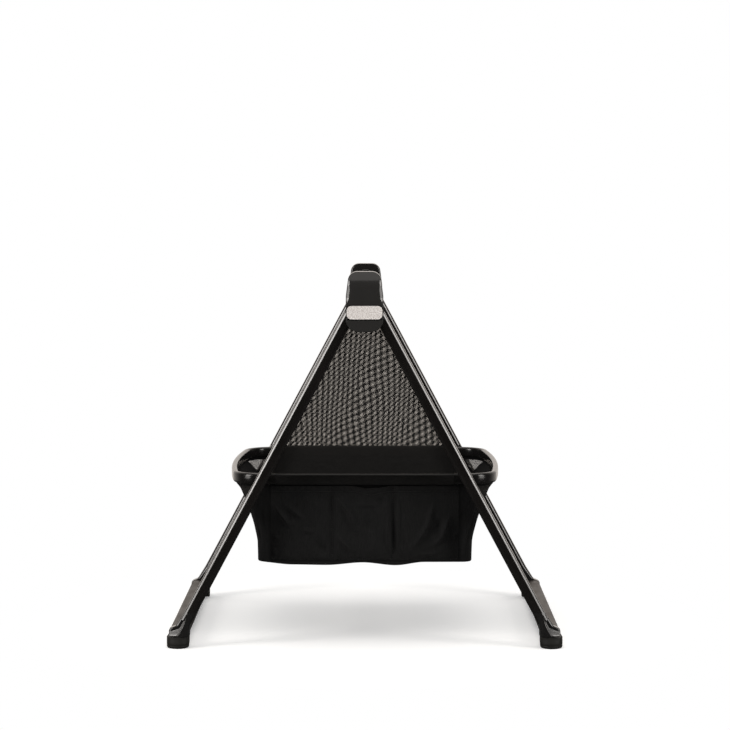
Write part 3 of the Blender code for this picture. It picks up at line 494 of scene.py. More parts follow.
satin = grained("satin black moulding", (0.010, 0.0097, 0.0093), 0.24, (0.20, 0.30),
                ((0.0065, 0.0062, 0.0060), (0.0130, 0.0125, 0.0120)), (30.0, 3.0), (1400.0, 2.0),
                (0.00005, 0.1), specular_ior_level=0.5, coat_weight=0.6, coat_roughness=0.13, coat_ior=1.5)
heights = [SHOULDER_TOP - COARSE_STEP * i for i in range(COARSE_ROWS)]
heights += [heights[-1] - FINE_STEP * (i + 1) for i in range(FINE_ROWS)] + [BOOT_RIM]
for corner_name, body, side, end in CORNERS:
    rows = [[Vector((side * x, end * y, z)) for x, y in foot_section(z)] for z in heights]
    stub = [[Vector((side * x, end * y, z)) for x, y in foot_plan(STUB_WIDE, FOOT_FRONT, STUB_BACK)]
            for z in (STUB_LOW, BOOT_RIM)]
    solid(corner_name + "_foot_moulding", [rows, stub], 48, satin, body, "satin_plastic",
          corner_name + "_foot")
    # The rail's end is sleeved by a cuff of the same extrusion, which dies into the shoulder
    rows = [ring_at((side * FOOT_X, end * y, RAIL_TOP - RAIL_TALL / 2 - drop / 2), X, Z,
                    rounded(RAIL_WIDE - narrow, RAIL_TALL - drop, RAIL_CORNER - drop))
            for y, drop, narrow in CUFF_ROWS]
    solid(corner_name + "_rail_cuff", [rows], 40, rail_metal, body, "anodised_tube")


# Boots: soft black rubber caps pressed over the feet, with a rounded toe and a ribbed sole
# that stands on the floor. The heel end of each sole is lifted a little.
BOOT_WIDE, BOOT_FRONT, BOOT_BACK, BOOT_TALL = 0.0375, 0.2705, 0.2255, 0.019
HEEL_LIFT, HEEL_FROM, HEEL_RUN = 0.0045, 0.2440, 0.0150
TOE_BACK, TOE_FROM, TOE_RISE = 0.0027, 0.0070, 0.0120
# Rows up the boot: height, and how far it stands in from its full outline
BOOT_ROWS = ((0.0, 0.0032), (0.0006, 0.0014), (0.0020, 0.0004), (0.0040, 0.0), (0.0046, 0.0004),
             (0.0052, 0.0004), (0.0058, 0.0), (0.0090, 0.0), (0.0120, 0.0), (0.0145, 0.0), (0.0165, 0.0),
             (0.0180, 0.0), (0.0188, 0.0002), (0.0192, 0.0008), (0.0193, 0.0026), (0.0160, 0.0030))


def heel_lift(y, z):
    share = min(1.0, max(0.0, (HEEL_FROM - y) / HEEL_RUN))
    return HEEL_LIFT * (1 - z / BOOT_TALL) * (1 - (1 - share) ** 2)


def toe_back(x, y, z):
    """How far the toe draws back to meet the foot's front face, except at the outer side."""
    if y <= FRAME_Y:
        return 0.0
    return (TOE_BACK * ease_between(z, TOE_FROM, TOE_FROM + TOE_RISE)
            * ease_between(FOOT_X + 0.0170 - x, 0.0, 0.0120))


rubber = grained("black rubber", (0.020, 0.020, 0.0195), 0.62, (0.55, 0.72),
                 ((0.0066, 0.0062, 0.0048), (0.0135, 0.0128, 0.0104)), (60.0, 4.0), (2200.0, 2.0),
                 (0.00005, 0.6), specular_ior_level=0.35)
for corner_name, body, side, end in CORNERS:
    rows = [[Vector((side * x, end * (y - toe_back(x, y, z)), z + heel_lift(y, z)))
             for x, y in foot_plan(BOOT_WIDE - 2 * inset, BOOT_FRONT - inset, BOOT_BACK + 0.2 * inset)]
            for z, inset in BOOT_ROWS]
    solid(corner_name + "_boot_cap", [rows], 50, rubber, body, "boot_rubber", corner_name + "_boot")


# Hubs: each is two glossy black mouldings screwed together over the hinge plate. The outer
# one has a flat face between two bevelled sides, a crown that leans back above a crease, and
# a separate rounded cover below the badge.
HUB_LOW, HUB_HIGH, CREASE, CREASE_SOFT, TAPER = 0.5285, 0.628, 0.605, 0.0035, 0.588
HUB_HALF, HUB_TOP_HALF, LOW_ROUND, TOP_ROUND, ARC_STEPS = 0.031, 0.02575, 0.021, 0.013, 14
HUB_FRONT, HUB_PART, HUB_INNER, CROWN_SLOPE = 0.2725, 0.254, 0.2355, 0.28
PART_GAP, HUB_EDGE, BACK_ROUND = 0.0002, 0.0008, 0.004
BEVEL_WIDE, BEVEL_DEEP, SLIM_BEVEL = 0.0060, 0.0036, 0.0011
BEVEL_GROWS, BEVEL_SHRINKS, BEVEL_ENDS = (0.5735, 0.5860), (0.5960, 0.6080), (0.6080, 0.6200)
COVER_TOP, COVER_EDGE, SEAM, LEVEL_STEP = 0.5488, 0.003, 0.0004, 0.0012


def gloss_moulding(name, tones, coat, rough):
    """Polished plastic with a faint ripple and hairline swirls from wiping."""
    made, tree, shader, place = new_material(name, tones[0], 0.10, specular_ior_level=0.4, coat_weight=coat,
                                             coat_roughness=rough[0] * 0.6, coat_ior=1.5)
    ripple = clouds(tree, place, 24.0, 1.0)
    swirl = between(tree, clouds(tree, place, 700.0, 4.0), 0.45, 0.75, *rough)
    tree.links.new(swirl, shader.inputs["Roughness"])
    tinted(tree, shader, ripple, *tones)
    bumped(tree, shader, ripple, 0.0002, 0.25)
    return made


def round_in(depth, radius):
    """How far a rounded edge stands back at a depth from its end."""
    return 0.0 if depth >= radius else radius - math.sqrt(max(0.0, radius ** 2 - (radius - depth) ** 2))


def hub_half(z):
    share = max(0.0, z - TAPER) / (HUB_HIGH - TAPER)
    half = HUB_HALF - share * (HUB_HALF - HUB_TOP_HALF)
    return half - round_in(z - HUB_LOW, LOW_ROUND) - round_in(HUB_HIGH - z, TOP_ROUND)


def hub_front(z):
    """The face: upright, then leaning back above the crease, which is softly rounded."""
    above = z - CREASE
    lean = max(0.0, above)
    if abs(above) < CREASE_SOFT:
        lean = (above + CREASE_SOFT) ** 2 / (4 * CREASE_SOFT)
    return HUB_FRONT - CROWN_SLOPE * lean * (0.78 + 0.22 * lean / (HUB_HIGH - CREASE))


def whole_ring(half_ring, middle_y, end, z):
    """A level ring from the (x, y) points of its right half, which ends at the middle."""
    left = [(-x, y) for x, y in reversed(half_ring)]
    return [Vector((x, end * y, z)) for x, y in [*half_ring, (0.0, middle_y), *left]]


def outer_ring(z, end):
    """A level section of the outer moulding, in front of the parting line."""
    half = hub_half(z)
    front = hub_front(z) - round_in(min(z - HUB_LOW, HUB_HIGH - z), HUB_EDGE)
    # the bevels run between the badge and the crown, and fade out at both ends
    cut = (ease_between(z, *BEVEL_GROWS) * (1 - 0.45 * ease_between(z, *BEVEL_SHRINKS))
           * (1 - ease_between(z, *BEVEL_ENDS)))
    bevel = min(SLIM_BEVEL + (BEVEL_WIDE - SLIM_BEVEL) * cut, half * 0.45)
    deep = min(SLIM_BEVEL + (BEVEL_DEEP - SLIM_BEVEL) * cut, (front - HUB_PART) * 0.75)
    line = [Vector(spot) for spot in ((half, HUB_PART + PART_GAP), (half, front - deep),
                                      (half - bevel, front), (0.0, front))]
    points = [line[0], (half, (HUB_PART + front - deep) / 2)]
    for before, corner, after, soft in zip(line, line[1:], line[2:], (0.35, 0.22)):
        points += blunt(toward(corner, before, bevel * soft), corner, toward(corner, after, bevel * soft), 6)
    points += [((half - bevel) * (1 - i / 8), front) for i in range(1, 8)]
    return whole_ring(points, front, end, z)


def back_ring(z, end):
    """A level section of the inner moulding, behind the parting line."""
    half, back = hub_half(z), HUB_INNER + round_in(min(z - HUB_LOW, HUB_HIGH - z), HUB_EDGE)
    middle_x, middle_y = half - BACK_ROUND, back + BACK_ROUND
    angles = [math.pi / 2 * i / 6 for i in range(7)]
    points = [(half, HUB_PART - PART_GAP)]
    points += [(middle_x + BACK_ROUND * math.cos(a), middle_y - BACK_ROUND * math.sin(a)) for a in angles]
    points += [(middle_x * (1 - i / 6), back) for i in range(1, 6)]
    return whole_ring(points, back, end, z)


def levels(low, high):
    count = max(2, round((high - low) / LEVEL_STEP))
    return [low + (high - low) * i / count for i in range(count + 1)]


hub_black = gloss_moulding("black hub moulding", ((0.0205, 0.0198, 0.0190), (0.0255, 0.0247, 0.0238)), 0.32,
                           (0.08, 0.16))
arc = [1 - math.cos(math.pi / 2 * i / ARC_STEPS) for i in range(ARC_STEPS + 1)]
top_arc = [HUB_HIGH - TOP_ROUND * share for share in reversed(arc)]
low_arc = [HUB_LOW + LOW_ROUND * share for share in arc]
# The main outer moulding stops under the badge; the lower cover is a piece of its own
main_heights = sorted({*levels(COVER_TOP + SEAM, top_arc[0]), *top_arc, CREASE})
cover_heights = [z for z in low_arc if z < COVER_TOP - COVER_EDGE]
cover_heights += [COVER_TOP - COVER_EDGE, COVER_TOP - SEAM]
back_heights = sorted({*low_arc, *levels(low_arc[-1], top_arc[0]), *top_arc})
for end_name, end in ENDS.items():
    shells = [[outer_ring(z, end) for z in heights] for heights in (main_heights, cover_heights)]
    solid(end_name + "_hub_front_shell", shells, 42, hub_black, "hubs", "gloss_plastic",
          end_name + "_hub_outer")
    shells = [[back_ring(z, end) for z in back_heights]]
    solid(end_name + "_hub_back_shell", shells, 42, satin, "hubs", "satin_plastic", end_name + "_hub_inner")


# Hinge bolts and plate: zinc plated steel. Each bolt has a domed button head with a six-sided
# socket on the hub's inner face; the plate behind the face ties the two together.
HEAD_SEAT, BOLT_SIDES, SOCKET_SIDES = HUB_INNER - 0.0003, 32, 6
# Rows of a bolt and of the socket in its head: how far past the hub's face, and the radius
BOLT_ROWS = ((-0.0335, 0.0), (-0.0335, 0.0036), (-0.0331, 0.0040), (-0.0003, 0.0040), (0.0, 0.0066),
             (0.0003, 0.0070), (0.0008, 0.0070), (0.0013, 0.0063), (0.0017, 0.0050), (0.00185, 0.0038))
SOCKET_ROWS = ((0.00185, 0.0038, False), (0.00178, 0.0026, True), (0.0006, 0.0024, True),
               (0.0003, 0.0, False))


def geo(tree, kind, inputs=None, **settings):
    """Adds a geometry node and gives its outputs."""
    return node(tree, kind, inputs, "GeometryNode", **settings).outputs


def new_tree(name, inputs):
    """A Geometry Nodes tree with a geometry input, named inputs and a geometry output."""
    made = bpy.data.node_groups.new(name, "GeometryNodeTree")
    made.interface.new_socket("Geometry", in_out="INPUT", socket_type="NodeSocketGeometry")
    for label, kind in inputs.items():
        made.interface.new_socket(label, in_out="INPUT", socket_type="NodeSocket" + kind)
    made.interface.new_socket("Geometry", in_out="OUTPUT", socket_type="NodeSocketGeometry")
    return made, made.nodes.new("NodeGroupInput").outputs, made.nodes.new("NodeGroupOutput").inputs


def repeated(tree, given, result, points, part, turn):
    """Ends a tree: the part at each point, turned, as real mesh in the given material."""
    source = geo(tree, "ObjectInfo", {"Object": given[part]})["Geometry"]
    copies = geo(tree, "InstanceOnPoints", {"Points": points, "Instance": source, "Rotation": turn})[0]
    real = geo(tree, "RealizeInstances", {"Geometry": copies})[0]
    dressed = geo(tree, "SetMaterial", {"Geometry": real, "Material": given["Material"]})[0]
    tree.links.new(dressed, result[0])


def grown(name, base_mesh, tree, values):
    """The plain mesh that a tree makes of a base mesh with these input values."""
    host = placed(name + "_host", base_mesh)
    change = host.modifiers.new("grow", "NODES")
    change.node_group = tree
    keys = {item.name: item.identifier for item in tree.interface.items_tree
            if item.item_type == "SOCKET" and item.in_out == "INPUT"}
    for label, value in values.items():
        change[keys[label]] = value
    host.update_tag()
    bpy.context.view_layer.update()
    made = bpy.data.meshes.new_from_object(host.evaluated_get(bpy.context.evaluated_depsgraph_get()))
    made.name = name
    bpy.data.objects.remove(host)
    return made


zinc, tree, shader, place = new_material("zinc plated steel", (0.42, 0.42, 0.43), 0.34, 1.0)
spangle = node(tree, "TexVoronoi", {"Vector": place, "Scale": 420.0}).outputs["Distance"]
haze = clouds(tree, place, 160.0, 4.0)
tinted(tree, shader, haze, (0.36, 0.36, 0.37), (0.50, 0.49, 0.47))
tree.links.new(between(tree, spangle, 0.0, 0.7, 0.26, 0.44), shader.inputs["Roughness"])
bumped(tree, shader, haze, 0.00004, 0.5)
for end_name in ENDS:
    carried(end_name + "_hub_plate", zinc)

angles = [2 * math.pi * i / BOLT_SIDES for i in range(BOLT_SIDES)]
half_flat = math.pi / SOCKET_SIDES
flats = [math.cos(half_flat) / math.cos(a % (2 * half_flat) - half_flat) for a in angles]
bolt_rows = [[Vector((r * math.cos(a), r * math.sin(a), far)) for a in angles] for far, r in BOLT_ROWS]
socket_rows = [[Vector((r * math.cos(a), r * math.sin(a), 0)) * (k if flat else 1) + far * Z
                for a, k in zip(angles, flats)] for far, r, flat in SOCKET_ROWS]
bolt = placed("one_bolt", skin("one_bolt", [(bolt_rows, True, False), (socket_rows, True, False)], 40))

tree, given, result = new_tree("bolts on the hubs", {"Bolt": "Object", "Material": "Material",
                                                    "Across": "Float", "Along": "Float", "Height": "Float"})
corners = geo(tree, "MeshGrid", {"Vertices X": 2, "Vertices Y": 2, "Size X": given["Across"],
                                 "Size Y": given["Along"]})["Mesh"]
lift = node(tree, "CombineXYZ", {"Z": given["Height"]}).outputs[0]
raised = geo(tree, "Transform", {"Geometry": corners, "Translation": lift})[0]
# heads face the middle of the stand, so the far bolts point to -Y and the near ones to +Y
at_y = node(tree, "SeparateXYZ", {0: geo(tree, "InputPosition")[0]}).outputs["Y"]
tilt = maths(tree, "MULTIPLY_ADD", maths(tree, "GREATER_THAN", at_y, 0.0), math.pi, -math.pi / 2)
repeated(tree, given, result, raised, "Bolt", node(tree, "CombineXYZ", {"X": tilt}).outputs[0])
bolts = grown("hinge_bolts", bpy.data.meshes.new("empty"), tree,
              {"Bolt": bolt, "Material": zinc, "Across": 2 * HINGE_X, "Along": 2 * HEAD_SEAT,
               "Height": HINGE_Z})
bpy.data.objects.remove(bolt)
piece("hinge_bolts", bolts, zinc, "hubs", "steel", "near_left_bolt", "near_right_bolt", "far_left_bolt",
      "far_right_bolt")


# Badge: a stamped plate with a fine blasted face and a polished rim, glued across each hub. It is left
# bare. Under it and round its edge lies a thin near-black rim, a painted shade for the groove round
# the plate.
BADGE_WIDE, BADGE_TALL, BADGE_ROUND, BADGE_Z = 0.0590, 0.0222, 0.0078, 0.5606
SHADE_RIM_OUT, SHADE_RIM_THICK = 0.0015, 0.0003
# Rows of the plate and of the rim under it: how far out from the hub, and how far in from the outline
BADGE_ROWS = ((0.0, 0.0), (0.0007, 0.0), (0.0010, 0.00012), (0.0012, 0.0004), (0.0012, 0.0010),
              (0.00108, 0.0013), (0.00106, 0.0030))
SHADE_RIM_ROWS = ((-0.0004, 0.0), (0.0003, 0.0), (0.0004, 0.0001), (0.0004, 0.0020))
TIGHTEST = 0.0006


def stacked(centre, out, wide, tall, corner, rows, steps, up=Z):
    """Rounded rectangles, one above another, from rows of (how far out, how far in)."""
    return [ring_at(Vector(centre) + far * out, X, up,
                    rounded(wide - 2 * inset, tall - 2 * inset, max(TIGHTEST, corner - inset), steps))
            for far, inset in rows]


champagne, tree, shader, place = new_material("blasted champagne metal", (0.78, 0.73, 0.69), 0.42, 0.15)
patch = between(tree, clouds(tree, place, 500.0, 2.0), 0.35, 0.65)
tinted(tree, shader, patch, (0.62, 0.57, 0.54), (0.92, 0.88, 0.85))
bumped(tree, shader, clouds(tree, place, 1500.0, 3.0), 0.00008, 0.7)
# a near-black rim round the plate: painted shade for the groove at its edge
painted_shade_rim, tree, shader, place = new_material("black foam gasket", (0.0022, 0.0021, 0.0020), 0.85,
                                         specular_ior_level=0.05)
cells = node(tree, "TexVoronoi", {"Vector": place, "Scale": 2600.0}).outputs["Distance"]
tinted(tree, shader, cells, (0.0012, 0.0012, 0.0011), (0.0030, 0.0029, 0.0028))
bumped(tree, shader, cells, 0.00006, 0.6)
for end_name, end in ENDS.items():
    rows = stacked((0, end * (HUB_FRONT + SHADE_RIM_THICK), BADGE_Z), end * Y, BADGE_WIDE, BADGE_TALL,
                   BADGE_ROUND, BADGE_ROWS, 10)
    solid(end_name + "_bare_badge", [rows], 50, champagne, "hubs", "badge_metal", end_name + "_badge")
    rows = stacked((0, end * HUB_FRONT, BADGE_Z), end * Y, BADGE_WIDE + 2 * SHADE_RIM_OUT,
                   BADGE_TALL + 2 * SHADE_RIM_OUT, BADGE_ROUND + SHADE_RIM_OUT, SHADE_RIM_ROWS, 10)
    solid(end_name + "_badge_gasket", [rows], 50, painted_shade_rim, "hubs", "gloss_plastic")


# Fold releases: an oblong satin button on each hub's inner face, dished for a thumb and
# ribbed for grip, with a steel slide behind it and a small return coil.
BUTTON_WIDE, BUTTON_TALL, BUTTON_ROUND, BUTTON_Z = 0.017, 0.013, 0.0043, 0.6105
BUTTON_FACE, BUTTON_TRAVEL = HUB_INNER - 0.003, 0.0030
RIB_WIDE, RIB_TALL, RIB_ROUND, RIB_APART, RIBS = 0.0062, 0.0007, 0.0003, 0.0016, 5
# Rows of the button: how far in from its face, and how far in from its outline
BUTTON_ROWS = ((0.0085, 0.0), (0.0010, 0.0), (0.0004, 0.0002), (0.0, 0.0009), (0.0, 0.0014),
               (0.0006, 0.0026), (0.0009, 0.0045))
# Rows of a rib: how far in from the button's face, and how much of its size is left
RIB_ROWS = ((0.0012, 1.0), (0.0004, 1.0), (0.0001, 0.7))
for end_name, end in ENDS.items():
    shells = [stacked((0, end * BUTTON_FACE, BUTTON_Z), end * Y, BUTTON_WIDE, BUTTON_TALL, BUTTON_ROUND,
                      BUTTON_ROWS, 6)]
    for i in range(RIBS):
        z = BUTTON_Z + (i - RIBS // 2) * RIB_APART
        shells.append([ring_at((0, end * (BUTTON_FACE + deep), z), share * X, share * Z,
                               rounded(RIB_WIDE, RIB_TALL, RIB_ROUND, 3)) for deep, share in RIB_ROWS])
    solid(end_name + "_thumb_button", shells, 50, satin, end_name + "_release", "satin_plastic",
          end_name + "_release_button")
    carried(end_name + "_lock_slide", zinc)
    # the coil is the CAD spring, copied into a smooth mesh of its own
    spring, coil_name = end_name + "_release_spring", end_name + "_release_coil"
    shape = bmesh.new()
    shape.from_mesh(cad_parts[spring].data)
    mesh = smoothed(shape, bpy.data.meshes.new(coil_name), None)
    coil = piece(coil_name, mesh, zinc, "hubs", "steel", spring)
    low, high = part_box(spring)
    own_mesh(coil)


# Net panels: a fine black mesh, with rows of holes a millimetre apart, fills the top of each A
# frame. It is cut to a trapezoid, bound all round, and held taut between the hub and the legs.
# Seen one behind the other, the two panels' holes beat into coarse slanted dots.
HOLE_ACROSS, HOLE_UP, HOLE_SLANT, PULL = 0.00118, 0.00112, 0.70, 0.00033
NET_HIGH, NET_Y, NET_HEM, NET_SIDE_HEM, NET_SQUARES = 0.5400, 0.252, 0.0022, 0.0010, 64
NET_INSIDE, TAPE_THICK, TAPE_ROUND, TAPE_ROWS = 0.0107, 0.0018, 0.0008, 12
# Each panel's lower edge, and the phase of its uneven pull
NETS = {"near": (0.2895, 0.4), "far": (0.2842, 2.1)}


def fine_mesh(name, open_at, low, high):
    """Knitted mesh: yarn round holes of this radius, in cells, which are see-through."""
    made, tree, shader, place = new_material(name, low, 0.70, flat=True, specular_ior_level=0.2)
    cell = node(tree, "VectorMath", {0: stretched(tree, place, 1 / HOLE_ACROSS, 1 / HOLE_UP)},
                operation="FRACTION").outputs[0]
    away = node(tree, "VectorMath", {0: cell, 1: (0.5, 0.5, 0)}, operation="DISTANCE").outputs["Value"]
    fuzz = clouds(tree, place, (1400, 1400), 3.0)
    tinted(tree, shader, fuzz, low, high)
    bumped(tree, shader, maths(tree, "ADD", away, maths(tree, "MULTIPLY", fuzz, 0.3)), 0.0003, 0.7)
    gap = node(tree, "BsdfTransparent", {"Color": (1, 0.955, 0.905, 1)}).outputs[0]
    veil = blended(tree, maths(tree, "LESS_THAN", away, open_at), shader.outputs[0], gap)
    tree.links.new(veil, tree.nodes["Material Output"].inputs["Surface"])
    return made


def bands(tree, place, way, scale, distortion=0.0):
    """Soft parallel ribs, across X, across Y or slanted."""
    return node(tree, "TexWave", {"Vector": place, "Scale": scale, "Distortion": distortion, "Detail": 1.0},
                wave_type="BANDS", bands_direction=way).outputs["Fac"]


def net_edge(z, inset=0.0):
    return leg_x(z) - NET_INSIDE - inset / math.cos(LEAN)


def pulled(x, z, phase):
    """Where a spot of the knit was before the panel was pulled taut, a little unevenly."""
    return (x + PULL * (math.sin(z * 41 + x * 17 + phase) + 0.6 * math.sin(z * 23 - x * 51 + 2 * phase)),
            z + PULL * (math.sin(x * 48 - z * 23 + 1.3 * phase) + 0.6 * math.sin(x * 26 + z * 57 + phase)))


def net_panel(name, end, low, phase):
    """The cut trapezoid of knit; its UV map follows the rows of holes, in metres."""
    heights = [low + 0.0004 + (NET_HIGH - low - 0.0008) * j / NET_SQUARES for j in range(NET_SQUARES + 1)]
    rows = [[Vector((net_edge(z, 0.0002) * (-1 + 2 * i / NET_SQUARES), end * NET_Y, z))
             for i in range(NET_SQUARES + 1)] for z in heights]
    mesh = skin(name, [(rows, False, False)], 60)
    for corner, loop in zip(mesh.uv_layers["UVMap"].data, mesh.loops):
        x, y, z = mesh.vertices[loop.vertex_index].co
        u, v = pulled(x, z, phase)
        corner.uv = (u, v - u * HOLE_SLANT)
    return mesh


def binding(name, end, low):
    """The tape folded over the panel's edge all round, narrower along the legs."""
    rows = []
    for u, v in rounded(1.0, TAPE_THICK, TAPE_ROUND, 4):
        inset, side = NET_HEM * (0.5 - u), NET_SIDE_HEM * (0.5 - u)
        # along the legs half of it lies in the leg's groove
        bottom, top = ((net_edge(z, side - 0.0006), z) for z in (low + inset, NET_HIGH - inset))
        corners = [(-bottom[0], bottom[1]), bottom, top, (-top[0], top[1])]
        rows.append([Vector((ax + (bx - ax) * i / TAPE_ROWS, end * NET_Y + v, az + (bz - az) * i / TAPE_ROWS))
                     for (ax, az), (bx, bz) in zip(corners, corners[1:] + corners[:1])
                     for i in range(TAPE_ROWS)])
    return skin(name, [([*rows, rows[0]], True, False)], 50)


net_mesh = fine_mesh("fine black mesh", 0.298, (0.0056, 0.0052, 0.0048), (0.0110, 0.0103, 0.0096))
tape, tree, shader, place = new_material("black binding tape", (0.012, 0.0115, 0.011), 0.55, flat=True,
                                         specular_ior_level=0.4)
# the tape's tones are lifted well above the other blacks: a painted highlight for the lit edge of its hem
rib = bands(tree, place, "DIAGONAL", 260.0)
tinted(tree, shader, rib, (0.0180, 0.0174, 0.0166), (0.0330, 0.0318, 0.0302))
bumped(tree, shader, rib, 0.00015, 0.6)
for end_name, end in ENDS.items():
    low, phase = NETS[end_name]
    net = piece(end_name + "_net_panel", net_panel(end_name + "_net_panel", end, low, phase), net_mesh,
                "hubs", "net_fabric", end_name + "_net")
    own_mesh(net)
    bound = piece(end_name + "_net_binding", binding(end_name + "_net_binding", end, low), tape, "hubs",
                  "net_fabric")
    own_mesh(bound)


# Ring: the basket hangs in a flat oval ring. Its two bent ends are glossy black mouldings, each
# pinned or pegged to a leg, and two straight rails under fabric sleeves join them.
RING_HALF_X, RING_HALF_Y, RING_Z, RING_JOINT_X = 0.228, 0.213, 0.2785, 0.142
RING_BOW, RING_CORNER, RING_THICK, RING_TALL, RING_EDGE = 0.009, 0.048, 0.010, 0.019, 0.0047
MOUTH_CHAMFER = 0.97


def flipped(line, x, y):
    """Points and outward normals seen in a mirror, in the opposite order."""
    return [tuple(Vector((v.x * x, v.y * y, 0)) for v in pair) for pair in reversed(line)]


def right_half(half_x, half_y, corner, bow, start_x, corner_steps=18, bow_steps=16):
    """Right half of a bowed outline with round corners: points and outward normals, near to far."""
    flat, corner_x = half_y - corner, half_x - bow - corner
    spread = 2 * math.atan2(bow, flat)
    line = [(Vector((start_x + (corner_x - start_x) * i / 4, half_y, 0)), Y) for i in range(4)]
    for i in range(corner_steps + 1):
        angle = math.pi / 2 - (math.pi / 2 - spread) * i / corner_steps
        out = Vector((math.cos(angle), math.sin(angle), 0))
        line.append((Vector((corner_x, flat, 0)) + corner * out, out))
    start = line[-1][0]
    for i in range(1, bow_steps + 1):
        share = 1 - i / bow_steps
        out = Vector((math.cos(spread * share), math.sin(spread * share), 0))
        line.append((Vector((half_x - (half_x - start.x) * share ** 2, start.y * share, 0)), out))
    return flipped(line[:-1], 1, -1)[::-1] + line[::-1]


gloss_black = gloss_moulding("gloss black moulding", ((0.0055, 0.0052, 0.0050), (0.0090, 0.0086, 0.0082)),
                             0.10, (0.16, 0.25))
section = rounded(RING_THICK, RING_TALL, RING_EDGE, 6)
bend = right_half(RING_HALF_X, RING_HALF_Y, RING_CORNER, RING_BOW, RING_JOINT_X)
for side_name, side in SIDES.items():
    rows = [[Vector((side * (p.x + u * n.x), p.y + u * n.y, RING_Z + v)) for u, v in section]
            for p, n in bend]
    # each mouth is chamfered a little where the sleeve begins
    for row in (rows[0], rows[-1]):
        middle = sum(row, Vector()) / len(row)
        row[:] = [middle + (p - middle) * MOUTH_CHAMFER for p in row]
    solid(f"ring_{side_name}_bend", [rows], 45, gloss_black, "basket", "gloss_plastic",
          f"ring_{side_name}_end")


# Sleeves: the bag's top hem, black twill wrapped over each straight rail of the ring and sewn
# under it, with a seam along its outer face. Its ends are drawn in round the ring's bends.
SLEEVE_END, SLEEVE_ROWS, SLEEVE_ROUND, SEAM_POINTS = 0.150, 72, 0.0040, 14
SLEEVE_HALF, SLEEVE_HIGH = RING_THICK / 2 + 0.0004, RING_TALL / 2 + 0.0003
SEAM_UP, SEAM_DEEP, SEAM_WIDE = RING_TALL * 0.30, 0.0005, 0.0006
DRAWN_IN, DRAWN_LONG, RUCK_DEEP, RUCKS_PER_METRE = 0.04, 0.0015, 0.05, 130
sleeve_cloth, tree, shader, place = new_material("black twill sleeve", (0.008, 0.0077, 0.0073), 0.80,
                                                 flat=True, specular_ior_level=0.12, sheen_weight=0.02,
                                                 sheen_roughness=0.45)
tinted(tree, shader, clouds(tree, place, (60, 60), 3.0), (0.0050, 0.0048, 0.0046), (0.0105, 0.0101, 0.0096))
twill = bands(tree, stretched(tree, place, 1300, 1300), "DIAGONAL", 0.5, 0.6)
bumped(tree, shader, twill, 0.00015, 0.7)
straight = SLEEVE_HIGH - SLEEVE_ROUND
section = rounded(2 * SLEEVE_HALF, 2 * SLEEVE_HIGH, SLEEVE_ROUND, 6)
section += [(SLEEVE_HALF, straight * (2 * i / SEAM_POINTS - 1)) for i in range(1, SEAM_POINTS)]
for end_name, end in ENDS.items():
    rows = []
    for i in range(SLEEVE_ROWS + 1):
        x = SLEEVE_END * (2 * i / SLEEVE_ROWS - 1)
        pull = 1.0 - DRAWN_IN * math.exp(-((abs(x) - SLEEVE_END) / DRAWN_LONG) ** 2)
        row = []
        for k, (u, v) in enumerate(section):
            ruck = 1 + RUCK_DEEP * noise.noise(Vector((x * RUCKS_PER_METRE, k * 0.5, end * 3.0)))
            seam = SEAM_DEEP * math.exp(-((v - SEAM_UP) / SEAM_WIDE) ** 2) * (u > 0)
            row.append(Vector((x, end * (RING_HALF_Y + u * pull * ruck - seam), RING_Z + v * pull)))
        rows.append(row)
    solid(f"ring_{end_name}_sleeve", [rows], 45, sleeve_cloth, "basket", "rail_sleeve",
          f"ring_{end_name}_rail")


# What holds the ring: steel pins in satin brackets on the left legs, and steel pegs in open
# satin cradles on the right legs, from which the ring lifts out.
for end_name in ENDS:
    for name in (f"left_{end_name}_ring_pin", f"ring_{end_name}_peg"):
        carried(name, zinc)
    for name in (f"left_{end_name}_ring_bracket", f"right_{end_name}_ring_cradle"):
        carried(name, satin)


# Basket: a soft black bag sewn to the ring, with a stiffened boxy base. Its cloth hangs a little
# slack between the ring and the base, so that the walls fall in soft folds.
BAG_TOP, BAG_LOW, BASE_TALL, BAG_WALL, RING_UNDER = 0.2708, 0.1370, 0.032, 0.0014, 0.2687
BASE_X, BASE_Y, BASE_CORNER = 0.1805, 0.2085, 0.016
MOUTH_X, MOUTH_Y, MOUTH_CORNER, MOUTH_BOW = 0.2245, 0.2095, 0.0445, 0.009
SWEEP, EDGE_ROUND, FLAT_POINTS, WALL_ROWS = 1.5, 0.0028, 26, 54
THREADS, WAVE_SCALE = 1800.0, 0.3183 / 2
FOLD_DEEP, CREASE_DEEP, BELLY, FLARE, SIDE_SHARE = 0.0042, 0.0018, 0.0016, 0.0034, 0.45
FLARE_FROM, FLARE_TO, FLOOR_SAG = 0.90, 0.985, 0.003
# How low the near bottom edge hangs, from the left corner to the right one
HANG = ((-0.18, 0.1373), (-0.121, 0.1324), (-0.0636, 0.1316), (-0.003, 0.1360), (0.0523, 0.1312),
        (0.1005, 0.1368), (0.18, 0.1370))
# The far wall sags in three swags below its hem: the way of each as (x, z), how high, how wide
SWAGS = ((((-0.1442, 0.2655), (-0.0606, 0.2650), (-0.0327, 0.2504)), -0.0042, 0.0042),
         (((0.0230, 0.2496), (0.0639, 0.2605), (0.1382, 0.2600)), -0.0042, 0.0042),
         (((-0.1500, 0.2560), (-0.0800, 0.2520), (-0.0400, 0.2440)), -0.0034, 0.0045))


